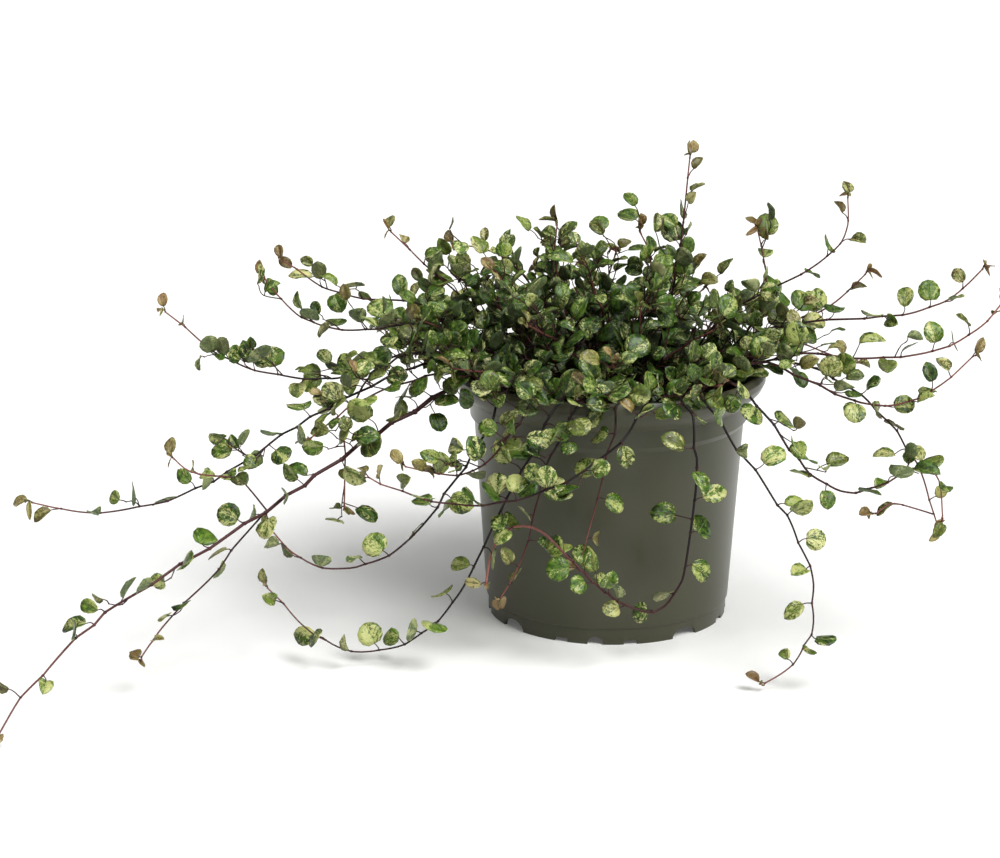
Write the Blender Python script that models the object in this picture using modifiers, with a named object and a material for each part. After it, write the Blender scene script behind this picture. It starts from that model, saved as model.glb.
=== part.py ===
"""Wire vine in a nursery pot.

The origin is the middle of the pot's underside, on the surface that the pot stands on. +Z is up and
-Y is the front. The pot is turned in one profile, soil fills it, and every stem stands in its own
hole in the soil. A stem and its leaves are one piece.
"""

import math

import bmesh
import bpy
import numpy as np
from mathutils import Matrix, Vector
from mathutils.kdtree import KDTree

MM = 0.001
GAP = 0.3 * MM

# Pot, a 160 mm nursery pot. Radii are the outer ones, and heights are from the floor.
LIP_RADIUS = 80 * MM
BAND_RADIUS = 71.4 * MM
BODY_TOP_RADIUS = 69.2 * MM
BODY_FOOT_RADIUS = 63.0 * MM
SKIRT_RADIUS = 62.0 * MM
POT_HEIGHT = 129.5 * MM
LIP_WIDEST_HEIGHT = 125 * MM
BAND_TOP_HEIGHT = 113.5 * MM
STEP_TOP_HEIGHT = 105 * MM
STEP_FOOT_HEIGHT = 102 * MM
SKIRT_HEIGHT = 8 * MM
WALL = 1.5 * MM
LIP_TOP_INSET = 1.4 * MM
LIP_TOP_WIDTH = 2 * MM
LIP_INNER_SLOPE = 2 * MM
LIP_EDGE = 2 * MM
LIP_UNDERCUT = 5 * MM
POT_SIDES = 32
SOIL_SIDES = 24
POT_TURN = math.radians(-7.5)

# Underside: a pad in the middle stands on the floor with the skirt's lobes.
PAD_RADIUS = 20 * MM
PAD_SLOPE = 3 * MM
PLATE_HEIGHT = 4 * MM
DRAIN_RADIUS = 4 * MM
DRAIN_RING = 42 * MM
DRAIN_COUNT = 8
LOBES = 4
LOBE_GAP_ANGLE = math.radians(14)
LOBE_GAP_HEIGHT = 5 * MM
NOTCH_ANGLE = math.radians(16.5)
ARCH_RADIUS = 4 * MM
NOTCH_WIDTH = 7 * MM
NOTCH_HEIGHT = 2 * MM
SKIRT_CUT_DEPTH = 12 * MM

# Soil
SOIL_HEIGHT = 112 * MM
HOLE_DEPTH = 10 * MM
HOLE_SIDES = 4

# Stems. A stem stands straight in its hole and leaves the soil upright, over its neck.
ROOT_REACH = 62 * MM
ROOT_SPACING = 9 * MM
ROOT_UNDER_ROUTE = 0.75
ROOT_ROUNDS = 200
NECK_HEIGHT = 4 * MM
FIXED_STEM_POINTS = 3
RIM_CROSSING_RADIUS = 74 * MM
RIM_CROSSING_HEIGHT = 139 * MM
STEM_ROOT_RADIUS = 1.25 * MM
STEM_TIP_RADIUS = 0.8 * MM
STEM_SIDES = 3
STEM_STEP = 4 * MM
STEM_SPACING = 4.8 * MM
STEM_TOLERANCE = 0.85 * MM
POT_CLEARANCE = 2.2 * MM
FLOOR_CLEARANCE = 1.6 * MM
SPREAD_ROUNDS = 90
EASING_ROUNDS = 78
FORK_RADIUS_SHARE = 0.5

# Leaves. Each row across a blade is its place along the leaf and its half width there, petiole first.
LEAF_THICKNESS = 0.62 * MM
LEAF_ROWS = [(-0.1, 0.35), (4.0, 0.45), (5.0, 4.3), (10.2, 5.4), (14.4, 2.2)]
LEAF_ARCH = 0.018
CROWN_LEAF_STEP = 21 * MM
TRAIL_LEAF_STEP = 33 * MM
FIRST_LEAF = 24 * MM
FIRST_FORK_LEAF = 19 * MM
TIP_LEAF_BACK = 1.4 * MM
TIP_LEAF_SIDE = 0.25
LEAF_SIZES = (0.92, 1.16)
YOUNG_LENGTH = 45 * MM
YOUNG_SHRINK = 0.4
LIGHT = Vector((0, -0.4, 1))
LEAF_LEAN = 0.5
LEAF_TRIES = 14
SHRINK_A_TRY = 0.025
LEAN_A_TRY = 0.25
GUARD_STEP = 2 * MM
NEIGHBOUR_REACH = 18 * MM
LEAF_STEM_CLEARANCE = 3.0 * MM
LEAF_LEAF_CLEARANCE = 2.5 * MM
LEAF_POT_CLEARANCE = 1.2 * MM
LEAF_FLOOR_CLEARANCE = 0.6 * MM

# Crown, a dome of short sprigs that a leaf's place is counted in up to a depth of about one.
SPRIG_COUNT = 21
SPRIG_TURN = 0.6
SPRIG_REACH = (0.88, 1.04)
SPRIG_KNEE = 6 * MM
CROWN_CENTRE = Vector((-12, 0, 128)) * MM
CROWN_REACH = Vector((98, 84, 66)) * MM
CROWN_DEPTH = 1.1
GOLDEN_ANGLE = math.pi * (3 - math.sqrt(5))
SEED = 11

# Trailing stems on the back. Ranges are in millimetres, and each stem draws its own values from them.
BACK_VINE_COUNT = 8
BACK_VINE_SPAN = (math.radians(24), math.radians(156))
BACK_VINE_START = 86 * MM
BACK_VINE_CROSSING = (138, 148)
BACK_VINE_REACH = (118, 150)
BACK_VINE_LOW_END = (24, 84)
BACK_VINE_HIGH_END = (116, 132)
BACK_VINE_SWAY = (-12, 12)
BACK_VINE_CURL = 12 * MM
BEHIND_POT = 0.45

# Routes of the stems that show, in millimetres. The first route of a stem is the stem itself, and the
# others are forks that leave it. Each stem comes up out of the soil and crosses the rim to its route.
STEMS = {
    "vine_left_runner": [
        [(-85, -35, 122), (-115, -60, 112), (-150, -95, 94), (-190, -125, 74), (-223, -145, 59),
         (-246, -160, 46), (-266, -176, 28), (-279, -184, 16), (-286, -190, 3)],
        [(-168, -110, 84), (-180, -118, 72), (-196, -125, 54), (-217, -133, 34), (-226, -138, 20)],
        [(-168, -110, 86), (-180, -116, 103), (-200, -125, 109), (-209, -128, 117)],
    ],
    "vine_left_low": [
        [(-80, -20, 140), (-100, -30, 137), (-134, -50, 124), (-164, -64, 111), (-181, -75, 98),
         (-212, -90, 85), (-237, -100, 82), (-264, -108, 82), (-280, -112, 91)],
    ],
    "vine_left_arch": [
        [(-87, 0, 146), (-119, -5, 130), (-138, -10, 122), (-169, -15, 128), (-193, -15, 132),
         (-215, -13, 152), (-226, -10, 161)],
    ],
    "vine_left_high": [
        [(-92, 10, 163), (-123, 14, 158), (-149, 16, 165), (-160, 18, 174), (-168, 18, 181)],
    ],
    "vine_left_fan": [
        [(-86, -10, 158), (-120, -15, 149), (-147, -20, 153), (-161, -20, 158), (-170, -20, 169),
         (-174, -20, 180)],
    ],
    "vine_left_short": [
        [(-78, -40, 138), (-113, -52, 131), (-135, -60, 123), (-149, -70, 109)],
    ],
    "vine_left_hanger": [
        [(-90, -25, 148), (-122, -45, 135), (-134, -57, 120), (-131, -64, 97), (-133, -66, 73)],
    ],
    "vine_right_high": [
        [(77, 5, 145), (103, -2, 154), (138, -8, 156), (161, -13, 160), (183, -14, 172),
         (187, -14, 184)],
    ],
    "vine_right_long": [
        [(70, -12, 141), (94, -20, 142), (122, -28, 139), (153, -34, 142), (176, -37, 150),
         (189, -38, 160), (193, -38, 171)],
    ],
    "vine_right_fall": [
        [(72, -26, 143), (102, -38, 138), (124, -46, 127), (148, -60, 101), (157, -65, 81),
         (161, -66, 62)],
        [(159, -66, 68), (149, -70, 74), (136, -74, 78), (127, -76, 73)],
    ],
    "vine_right_swing": [
        [(68, -36, 146), (86, -42, 140), (106, -54, 128), (136, -66, 122), (154, -70, 130),
         (163, -72, 142), (174, -73, 153)],
    ],
    "vine_right_hook": [
        [(54, -56, 142), (73, -70, 124), (86, -80, 104), (102, -86, 86), (117, -88, 82),
         (132, -88, 91), (146, -86, 107), (158, -84, 106), (161, -84, 90), (160, -84, 72)],
    ],
    "vine_front_right_fall": [
        [(42, -70, 136), (53, -88, 116), (78, -104, 88), (92, -113, 64), (97, -118, 44),
         (94, -122, 20), (84, -125, 7), (70, -127, 3)],
    ],
    "vine_front_drop": [
        [(34, -80, 136), (40, -93, 116), (38, -93, 81), (35, -91, 50), (31, -92, 28), (17, -94, 22),
         (-1, -98, 36), (-20, -99, 53), (-35, -98, 77), (-50, -96, 80), (-62, -93, 68),
         (-63, -92, 42)],
    ],
    "vine_front_mid": [
        [(3, -84, 134), (-3, -93, 114), (-8, -92, 89), (-13, -90, 66), (-17, -90, 52)],
    ],
    "vine_front_cross": [
        [(19, -80, 136), (6, -95, 117), (-18, -102, 100), (-39, -104, 90), (-77, -100, 83),
         (-101, -96, 89), (-121, -92, 97)],
    ],
    "vine_front_left_arc": [
        [(-42, -76, 130), (-56, -90, 106), (-70, -88, 94), (-91, -84, 94), (-103, -82, 100)],
    ],
    "vine_front_left_fall": [
        [(-56, -62, 128), (-66, -82, 108), (-84, -95, 85), (-104, -102, 61), (-132, -104, 51),
         (-155, -104, 56), (-167, -108, 77)],
    ],
    "vine_front_floor": [
        [(-28, -80, 134), (-38, -93, 111), (-52, -94, 90), (-64, -90, 61), (-80, -89, 26),
         (-99, -92, 11), (-117, -95, 5), (-139, -96, 9), (-156, -96, 24), (-170, -92, 42)],
    ],
    "vine_front_left_drop": [
        [(-14, -82, 134), (-30, -90, 113), (-40, -88, 84), (-40, -87, 62), (-50, -84, 40),
         (-56, -82, 31)],
    ],
    "shoot_left_upright": [
        [(-60, 8, 152), (-78, 4, 166), (-92, 2, 178), (-103, 0, 192), (-112, 0, 200)],
    ],
    "shoot_left_curl": [
        [(-30, 12, 150), (-37, 14, 167), (-52, 12, 186), (-66, 10, 194), (-79, 10, 190)],
    ],
    "shoot_bud": [
        [(-18, 4, 150), (-24, 5, 164), (-32, 5, 186), (-27, 5, 203)],
    ],
    "shoot_tall": [
        [(26, -8, 150), (32, -6, 168), (36, -5, 198), (37, -5, 217), (36, -5, 228), (39, -5, 239)],
    ],
    "shoot_mid": [
        [(14, 20, 148), (21, 18, 164), (26, 16, 181), (23, 15, 194), (15, 15, 197)],
    ],
    "shoot_right_upright": [
        [(60, 14, 134), (74, 12, 142), (83, 10, 160), (81, 10, 183), (75, 10, 199)],
    ],
    "shoot_right_curl": [
        [(48, -8, 152), (62, -10, 164), (84, -14, 174), (107, -16, 186), (120, -16, 196),
         (124, -16, 209), (117, -16, 221)],
    ],
    "shoot_right_sprig": [
        [(66, 22, 140), (83, 20, 146), (107, 20, 149), (121, 20, 156), (133, 20, 174)],
    ],
}


def clear_scene():
    """Empty the scene of the objects that Blender starts with."""
    for thing in list(bpy.data.objects):
        bpy.data.objects.remove(thing, do_unlink=True)


def make_collection(name):
    """A collection of that name, linked to the scene."""
    group = bpy.data.collections.new(name)
    bpy.context.scene.collection.children.link(group)
    return group


def make_material(name, colour, roughness):
    """A plain surface with one colour."""
    material = bpy.data.materials.new(name)
    material.use_nodes = True
    shader = material.node_tree.nodes["Principled BSDF"]
    shader.inputs["Base Color"].default_value = (*colour, 1)
    shader.inputs["Roughness"].default_value = roughness
    shader.inputs["Metallic"].default_value = 0
    return material


def add_object(name, mesh, collection, material=None):
    """A new object of that mesh in a collection."""
    thing = bpy.data.objects.new(name, mesh)
    collection.objects.link(thing)
    if material:
        mesh.materials.clear()
        mesh.materials.append(material)
    return thing


def evaluated_mesh(thing):
    """The mesh that an object's curve or modifiers give."""
    graph = bpy.context.evaluated_depsgraph_get()
    return bpy.data.meshes.new_from_object(thing.evaluated_get(graph))


def weld_caps(mesh):
    """Weld the loose caps of a mesh that was a curve."""
    shape = bmesh.new()
    shape.from_mesh(mesh)
    bmesh.ops.remove_doubles(shape, verts=shape.verts, dist=0.01 * MM)
    shape.to_mesh(mesh)
    shape.free()


def turned_solid(name, profile, steps, collection, material):
    """A solid of revolution. The profile starts and ends on the axis, over its outer side downward."""
    mesh = bpy.data.meshes.new(name)
    edges = [(i, i + 1) for i in range(len(profile) - 1)]
    mesh.from_pydata([(radius, 0, height) for radius, height in profile], edges, [])
    thing = add_object(name, mesh, collection, material)
    turn = thing.modifiers.new("Turn", "SCREW")
    turn.steps = steps
    turn.render_steps = steps
    turn.use_merge_vertices = True
    turn.merge_threshold = 0.01 * MM
    return thing


def add_cylinder(name, radius, height, sides, place, collection):
    """A cylinder, used as a cutter, that stands on its place."""
    shape = bmesh.new()
    bmesh.ops.create_cone(
        shape, cap_ends=True, segments=sides, radius1=radius, radius2=radius, depth=height,
        matrix=Matrix.Translation(Vector(place) + Vector((0, 0, height / 2))),
    )
    mesh = bpy.data.meshes.new(name)
    shape.to_mesh(mesh)
    shape.free()
    return hide_cutter(add_object(name, mesh, collection))


def hide_cutter(cutter):
    """Mark an object as a cutter, which is no part of the plant."""
    cutter.hide_render = True
    cutter.display_type = "WIRE"
    return cutter


def cut(thing, cutters):
    """Cut every object of a collection out of a thing."""
    boolean = thing.modifiers.new("Cut", "BOOLEAN")
    boolean.operation = "DIFFERENCE"
    boolean.operand_type = "COLLECTION"
    boolean.collection = cutters


def lip_profile():
    """The rolled lip, from the wall's inner side over its top to the band below it."""
    top_radius = LIP_RADIUS - LIP_TOP_INSET
    inner_radius = top_radius - LIP_TOP_WIDTH
    return [
        (BAND_RADIUS - WALL, BAND_TOP_HEIGHT + 2 * WALL),
        (inner_radius - LIP_INNER_SLOPE, POT_HEIGHT - 2 * WALL),
        (inner_radius, POT_HEIGHT),
        (top_radius, POT_HEIGHT),
        (LIP_RADIUS, LIP_WIDEST_HEIGHT + LIP_EDGE),
        (LIP_RADIUS, LIP_WIDEST_HEIGHT - LIP_EDGE / 2),
        (LIP_RADIUS - LIP_EDGE, LIP_WIDEST_HEIGHT - LIP_UNDERCUT),
        (BAND_RADIUS + LIP_EDGE, BAND_TOP_HEIGHT + LIP_EDGE),
        (BAND_RADIUS, BAND_TOP_HEIGHT),
    ]


def pot_profile():
    """Half of the pot's section: floor, inner wall, lip, outer wall, skirt and underside."""
    plate_top = PLATE_HEIGHT + WALL
    inner_foot = BODY_FOOT_RADIUS - WALL
    return [
        (0, WALL),
        (PAD_RADIUS, WALL),
        (PAD_RADIUS + PAD_SLOPE, plate_top),
        (inner_foot, plate_top),
        (BODY_TOP_RADIUS - WALL, STEP_FOOT_HEIGHT),
        (BAND_RADIUS - WALL, STEP_TOP_HEIGHT),
        *lip_profile(),
        (BAND_RADIUS, STEP_TOP_HEIGHT),
        (BODY_TOP_RADIUS, STEP_FOOT_HEIGHT),
        (BODY_FOOT_RADIUS, SKIRT_HEIGHT + BODY_FOOT_RADIUS - SKIRT_RADIUS),
        (SKIRT_RADIUS, SKIRT_HEIGHT),
        (SKIRT_RADIUS, 0),
        (SKIRT_RADIUS - WALL, 0),
        (SKIRT_RADIUS - WALL, PLATE_HEIGHT),
        (PAD_RADIUS + PAD_SLOPE, PLATE_HEIGHT),
        (PAD_RADIUS, 0),
        (0, 0),
    ]


def add_skirt_cutter(name, angle, half_width, height, sides, collection):
    """A square or round bar that cuts the skirt's lower edge at an angle from the front."""
    shape = bmesh.new()
    bar_radius = 1 / math.cos(math.pi / sides)
    bmesh.ops.create_cone(
        shape, cap_ends=True, segments=sides, radius1=bar_radius, radius2=bar_radius,
        depth=SKIRT_CUT_DEPTH,
        matrix=Matrix.Rotation(math.radians(90), 4, "X") @ Matrix.Rotation(math.pi / sides, 4, "Z"),
    )
    bmesh.ops.scale(shape, vec=(half_width, 1, height), verts=shape.verts)
    place = Matrix.Rotation(angle, 4, "Z") @ Matrix.Translation((0, -SKIRT_RADIUS, 0))
    bmesh.ops.transform(shape, matrix=place, verts=shape.verts)
    mesh = bpy.data.meshes.new(name)
    shape.to_mesh(mesh)
    shape.free()
    return hide_cutter(add_object(name, mesh, collection))


def build_pot(collection, cutters, material):
    """The pot, with its skirt cut into lobes and notches and its floor drilled for drainage."""
    pot = turned_solid("pot", pot_profile(), POT_SIDES, collection, material)
    for lobe in range(LOBES):
        middle = POT_TURN + lobe * 2 * math.pi / LOBES
        between = middle + math.pi / LOBES
        half_gap = SKIRT_RADIUS * math.sin(LOBE_GAP_ANGLE / 2)
        add_skirt_cutter(f"lobe_gap_{lobe}", between, half_gap, LOBE_GAP_HEIGHT, 8, cutters)
        add_skirt_cutter(f"arch_{lobe}", middle, ARCH_RADIUS, ARCH_RADIUS, 8, cutters)
        for side in (-1, 1):
            angle = middle + side * NOTCH_ANGLE
            add_skirt_cutter(
                f"notch_{lobe}_{side}", angle, NOTCH_WIDTH / 2, NOTCH_HEIGHT, 4, cutters
            )
    for hole in range(DRAIN_COUNT):
        angle = POT_TURN + (hole + 0.5) * 2 * math.pi / DRAIN_COUNT
        place = (DRAIN_RING * math.sin(angle), DRAIN_RING * math.cos(angle), PLATE_HEIGHT - WALL)
        add_cylinder(f"drain_{hole}", DRAIN_RADIUS, 3 * WALL, 8, place, cutters)
    cut(pot, cutters)
    pot.data.shade_smooth()
    return pot


def build_soil(roots, collection, cutters, material):
    """The soil, which follows the pot's inner side a gap away, with a hole for each stem."""
    plate_top = PLATE_HEIGHT + WALL + GAP
    profile = [
        (0, SOIL_HEIGHT),
        (BAND_RADIUS - WALL - 2 * GAP, SOIL_HEIGHT),
        (BAND_RADIUS - WALL - 2 * GAP, STEP_TOP_HEIGHT + GAP),
        (BODY_TOP_RADIUS - WALL - 2 * GAP, STEP_FOOT_HEIGHT + GAP),
        (BODY_FOOT_RADIUS - WALL - 2 * GAP, plate_top),
        (0, plate_top),
    ]
    soil = turned_solid("soil", profile, SOIL_SIDES, collection, material)
    hole_radius = (STEM_ROOT_RADIUS + GAP) / math.cos(math.pi / HOLE_SIDES)
    for number, root in enumerate(roots):
        place = (root.x, root.y, SOIL_HEIGHT - HOLE_DEPTH)
        add_cylinder(f"hole_{number}", hole_radius, 2 * HOLE_DEPTH, HOLE_SIDES, place, cutters)
    cut(soil, cutters)
    return soil


def sprig_routes():
    """Short stems whose tips are even over the crown's dome."""
    rng = np.random.default_rng(SEED)
    routes = {}
    for number in range(SPRIG_COUNT):
        height = (number + 0.5) / SPRIG_COUNT
        around = number * GOLDEN_ANGLE + SPRIG_TURN
        level = math.sqrt(1 - height ** 2)
        outward = Vector((level * math.cos(around), level * math.sin(around), height))
        tip = CROWN_CENTRE + outward * CROWN_REACH * rng.uniform(*SPRIG_REACH)
        knee = Vector((0.45 * tip.x, 0.45 * tip.y, 0.5 * (SOIL_HEIGHT + tip.z)))
        knee += Vector(rng.uniform(-SPRIG_KNEE, SPRIG_KNEE, 3))
        routes[f"sprig_{number + 1:02d}"] = [[knee, tip]]
    return routes


def back_vine_routes():
    """Trailing stems on the back. Those behind the pot hang low, and those toward the sides stay high."""
    rng = np.random.default_rng(SEED + 1)
    routes = {}
    rise = Vector((0, 0, 1))
    for number in range(BACK_VINE_COUNT):
        share = number / (BACK_VINE_COUNT - 1)
        around = BACK_VINE_SPAN[0] + share * (BACK_VINE_SPAN[1] - BACK_VINE_SPAN[0])
        outward = Vector((math.cos(around), math.sin(around), 0))
        aside = Vector((-outward.y, outward.x, 0))
        reach = rng.uniform(*BACK_VINE_REACH) * MM
        end_height = rng.uniform(*BACK_VINE_LOW_END) * MM
        if abs(outward.x) > BEHIND_POT:
            end_height = rng.uniform(*BACK_VINE_HIGH_END) * MM
        sway = rng.uniform(*BACK_VINE_SWAY) * MM
        crossing = rng.uniform(*BACK_VINE_CROSSING) * MM
        routes[f"vine_back_{number + 1}"] = [[
            outward * BACK_VINE_START + rise * crossing,
            outward * (0.4 * BACK_VINE_START + 0.6 * reach) + aside * 0.4 * sway
            + rise * (0.55 * crossing + 0.45 * end_height),
            outward * reach + aside * sway + rise * (0.2 * crossing + 0.8 * end_height),
            outward * (reach + BACK_VINE_CURL) + aside * 1.7 * sway + rise * end_height,
        ]]
    return routes


def all_routes():
    """The routes of every stem in metres, those that show first."""
    routes = {
        name: [[Vector(point) * MM for point in route] for route in stem]
        for name, stem in STEMS.items()
    }
    routes.update(sprig_routes())
    routes.update(back_vine_routes())
    return routes


def root_places(routes):
    """Where each stem comes out of the soil: toward its route, and a spacing from the others."""
    places = []
    for number, stem in enumerate(routes.values()):
        start = stem[0][0]
        reach = min(ROOT_UNDER_ROUTE * start.xy.length, ROOT_REACH - (number % 3) * ROOT_SPACING)
        aim = Vector((start.x, start.y)).normalized()
        places.append(np.array(aim * reach))
    places = np.array(places)
    for _ in range(ROOT_ROUNDS):
        apart = places[:, None] - places[None]
        distance = np.linalg.norm(apart, axis=2) + np.eye(len(places))
        short = np.clip(ROOT_SPACING - distance, 0, None) * (1 - np.eye(len(places)))
        places = places + 0.5 * (apart / distance[:, :, None] * short[:, :, None]).sum(axis=1)
        radius = np.linalg.norm(places, axis=1, keepdims=True)
        places = places * np.minimum(1, ROOT_REACH / radius)
    return [Vector((x, y)) for x, y in places]


def smooth_points(route, step):
    """Points one step apart on a smooth curve through a route's own points."""
    knots = np.array([tuple(point) for point in route])
    ends = np.vstack([2 * knots[0] - knots[1], knots, 2 * knots[-1] - knots[-2]])
    fine = []
    for before, start, end, after in zip(ends, ends[1:], ends[2:], ends[3:]):
        for t in np.linspace(0, 1, 24, endpoint=False):
            fine.append(0.5 * (
                2 * start + (end - before) * t
                + (2 * before - 5 * start + 4 * end - after) * t ** 2
                + (3 * start - before - 3 * end + after) * t ** 3
            ))
    fine = np.array(fine + [knots[-1]])
    along = np.concatenate([[0], np.cumsum(np.linalg.norm(np.diff(fine, axis=0), axis=1))])
    stops = np.linspace(0, along[-1], max(3, round(along[-1] / step) + 1))
    return np.column_stack([np.interp(stops, along, fine[:, axis]) for axis in range(3)])


def stem_points(root, route):
    """A stem's points, from its hole straight up out of the soil, over the rim and on its route."""
    foot = np.array((root.x, root.y, SOIL_HEIGHT - HOLE_DEPTH + GAP))
    neck = np.array((root.x, root.y, SOIL_HEIGHT + NECK_HEIGHT))
    start = Vector(route[0])
    passes = [Vector(neck), *route]
    flat = Vector((start.x, start.y)).length
    if flat > RIM_CROSSING_RADIUS and start.z < RIM_CROSSING_HEIGHT:
        scale = RIM_CROSSING_RADIUS / flat
        passes.insert(1, Vector((start.x * scale, start.y * scale, RIM_CROSSING_HEIGHT)))
    return np.vstack([foot, smooth_points(passes, STEM_STEP)])


def pot_outline():
    """The section of the pot and its soil as one filled outline of radius and height."""
    return np.array([
        (0, SOIL_HEIGHT),
        (BAND_RADIUS - WALL, SOIL_HEIGHT),
        *lip_profile(),
        (BAND_RADIUS, STEP_TOP_HEIGHT),
        (BODY_TOP_RADIUS, STEP_FOOT_HEIGHT),
        (BODY_FOOT_RADIUS, SKIRT_HEIGHT),
        (BODY_FOOT_RADIUS, 0),
        (0, 0),
    ])


def pot_distance(points):
    """How far each point is from the pot and its soil, negative inside, and the way out."""
    outline = pot_outline()
    start, end = outline, np.roll(outline, -1, axis=0)
    radius = np.hypot(points[:, 0], points[:, 1])
    place = np.column_stack([radius, points[:, 2]])
    run = end - start
    share = ((place[:, None] - start) * run).sum(axis=2) / (run ** 2).sum(axis=1)
    nearest = start + np.clip(share, 0, 1)[:, :, None] * run
    away = place[:, None] - nearest
    distance = np.linalg.norm(away, axis=2)
    closest = distance.argmin(axis=1)
    rows = np.arange(len(points))
    crossing = (start[:, 1] > place[:, 1:]) != (end[:, 1] > place[:, 1:])
    height_run = np.where(run[:, 1] == 0, 1, run[:, 1])
    edge_radius = start[:, 0] + (place[:, 1:] - start[:, 1]) / height_run * run[:, 0]
    inside = (crossing & (place[:, :1] < edge_radius)).sum(axis=1) % 2 == 1
    sign = np.where(inside, -1, 1)
    way = away[rows, closest] / np.maximum(distance[rows, closest], 1e-9)[:, None] * sign[:, None]
    flat = points[:, :2] / np.maximum(radius, 1e-9)[:, None]
    outward = np.column_stack([flat * way[:, :1], way[:, 1]])
    return distance[rows, closest] * sign, outward


def push_apart(points, owner):
    """The push that each point gets from points of other stems that are too near."""
    tree = KDTree(len(points))
    for number, point in enumerate(points):
        tree.insert(point, number)
    tree.balance()
    push = np.zeros_like(points)
    for number, point in enumerate(points):
        for other, index, distance in tree.find_range(point, STEM_SPACING):
            if owner[index] != owner[number]:
                away = (point - np.array(other)) / max(distance, 1e-6)
                push[number] += 0.5 * away * (STEM_SPACING - distance)
    return push


def spread_stems(stems):
    """Push stems apart until they clear each other, the pot and the floor, and ease their kinks."""
    counts = [len(stem) for stem in stems]
    owner = np.repeat(np.arange(len(stems)), counts)
    place = np.concatenate([np.arange(count) for count in counts])
    last = place == np.repeat(counts, counts) - 1
    free = (place >= FIXED_STEM_POINTS)[:, None]
    middle = ((place > 0) & ~last)[:, None]
    points = np.vstack(stems)
    for turn in range(SPREAD_ROUNDS):
        push = push_apart(points, owner)
        if turn < EASING_ROUNDS:
            ease = np.zeros_like(points)
            ease[1:-1] = 0.5 * (points[:-2] + points[2:]) - points[1:-1]
            push += 0.25 * ease * middle
        points = points + push * free
        distance, outward = pot_distance(points)
        short = np.clip(POT_CLEARANCE - distance, 0, None)[:, None]
        points = points + outward * short * free
        low = free[:, 0] & (points[:, 2] < FLOOR_CLEARANCE)
        points[low, 2] = FLOOR_CLEARANCE
    return np.split(points, np.cumsum(counts)[:-1])


def simplify(points, tolerance):
    """Fewer points of a line that stays within a tolerance of all of them."""
    start, end = points[0], points[-1]
    run = (end - start) / max(np.linalg.norm(end - start), 1e-9)
    offset = points - start
    off_line = np.linalg.norm(offset - np.outer(offset @ run, run), axis=1)
    farthest = off_line.argmax()
    if len(points) < 3 or off_line[farthest] < tolerance:
        return np.array([start, end])
    left = simplify(points[:farthest + 1], tolerance)
    right = simplify(points[farthest:], tolerance)
    return np.vstack([left[:-1], right])


def line_lengths(points):
    """The length of a line up to each of its points."""
    return np.concatenate([[0], np.cumsum(np.linalg.norm(np.diff(points, axis=0), axis=1))])


def points_at(line, stops):
    """The points of a line at those lengths along it."""
    along = line_lengths(line)
    return np.column_stack([np.interp(stops, along, line[:, axis]) for axis in range(3)])


def place_on_line(line, stop):
    """The point at a length along a line, and the line's direction there."""
    segment = min(np.searchsorted(line_lengths(line), stop) - 1, len(line) - 2)
    direction = Vector(line[segment + 1] - line[segment]).normalized()
    return Vector(points_at(line, [stop])[0]), direction


def stem_radius(share):
    """A stem's radius at a share of its length from the root."""
    return STEM_ROOT_RADIUS + (STEM_TIP_RADIUS - STEM_ROOT_RADIUS) * share


def stem_section():
    """A stem's cross-section, a polygon with a radius of one, as a curve object."""
    curve = bpy.data.curves.new("stem_section", "CURVE")
    spline = curve.splines.new("POLY")
    spline.points.add(STEM_SIDES - 1)
    spline.use_cyclic_u = True
    for number, corner in enumerate(spline.points):
        angle = -number * 2 * math.pi / STEM_SIDES
        corner.co = (math.cos(angle), math.sin(angle), 0, 1)
    section = bpy.data.objects.new("stem_section", curve)
    bpy.context.scene.collection.objects.link(section)
    return section


def stem_mesh(points, root_share, section):
    """A tapered stem with that cross-section through its points, as a closed mesh."""
    curve = bpy.data.curves.new("stem", "CURVE")
    curve.dimensions = "3D"
    curve.bevel_mode = "OBJECT"
    curve.bevel_object = section
    curve.use_fill_caps = True
    spline = curve.splines.new("POLY")
    spline.points.add(len(points) - 1)
    along = line_lengths(points)
    for knot, place, length in zip(spline.points, points, along):
        knot.co = (*place, 1)
        knot.radius = stem_radius(root_share + (1 - root_share) * length / along[-1])
    thing = bpy.data.objects.new("stem", curve)
    bpy.context.scene.collection.objects.link(thing)
    mesh = evaluated_mesh(thing)
    weld_caps(mesh)
    bpy.data.objects.remove(thing)
    bpy.data.curves.remove(curve)
    return mesh


def leaf_mesh():
    """One leaf: a strip of rows along +X, arched downward, thickened to a blade with its petiole."""
    shape = bmesh.new()
    bmesh.ops.create_grid(shape, x_segments=len(LEAF_ROWS) - 1, y_segments=1, size=1)
    columns = sorted({round(vertex.co.x, 4) for vertex in shape.verts})
    for vertex in shape.verts:
        place, half_width = LEAF_ROWS[columns.index(round(vertex.co.x, 4))]
        blade = max(0, place - LEAF_ROWS[1][0])
        vertex.co = Vector((place, math.copysign(half_width, vertex.co.y), 0)) * MM
        vertex.co.z = -LEAF_ARCH * blade ** 2 * MM
    mesh = bpy.data.meshes.new("leaf")
    shape.to_mesh(mesh)
    shape.free()
    thing = bpy.data.objects.new("leaf", mesh)
    bpy.context.scene.collection.objects.link(thing)
    thicken = thing.modifiers.new("Thickness", "SOLIDIFY")
    thicken.thickness = LEAF_THICKNESS
    thicken.offset = 0
    leaf = evaluated_mesh(thing)
    bpy.data.objects.remove(thing)
    return leaf


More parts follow.
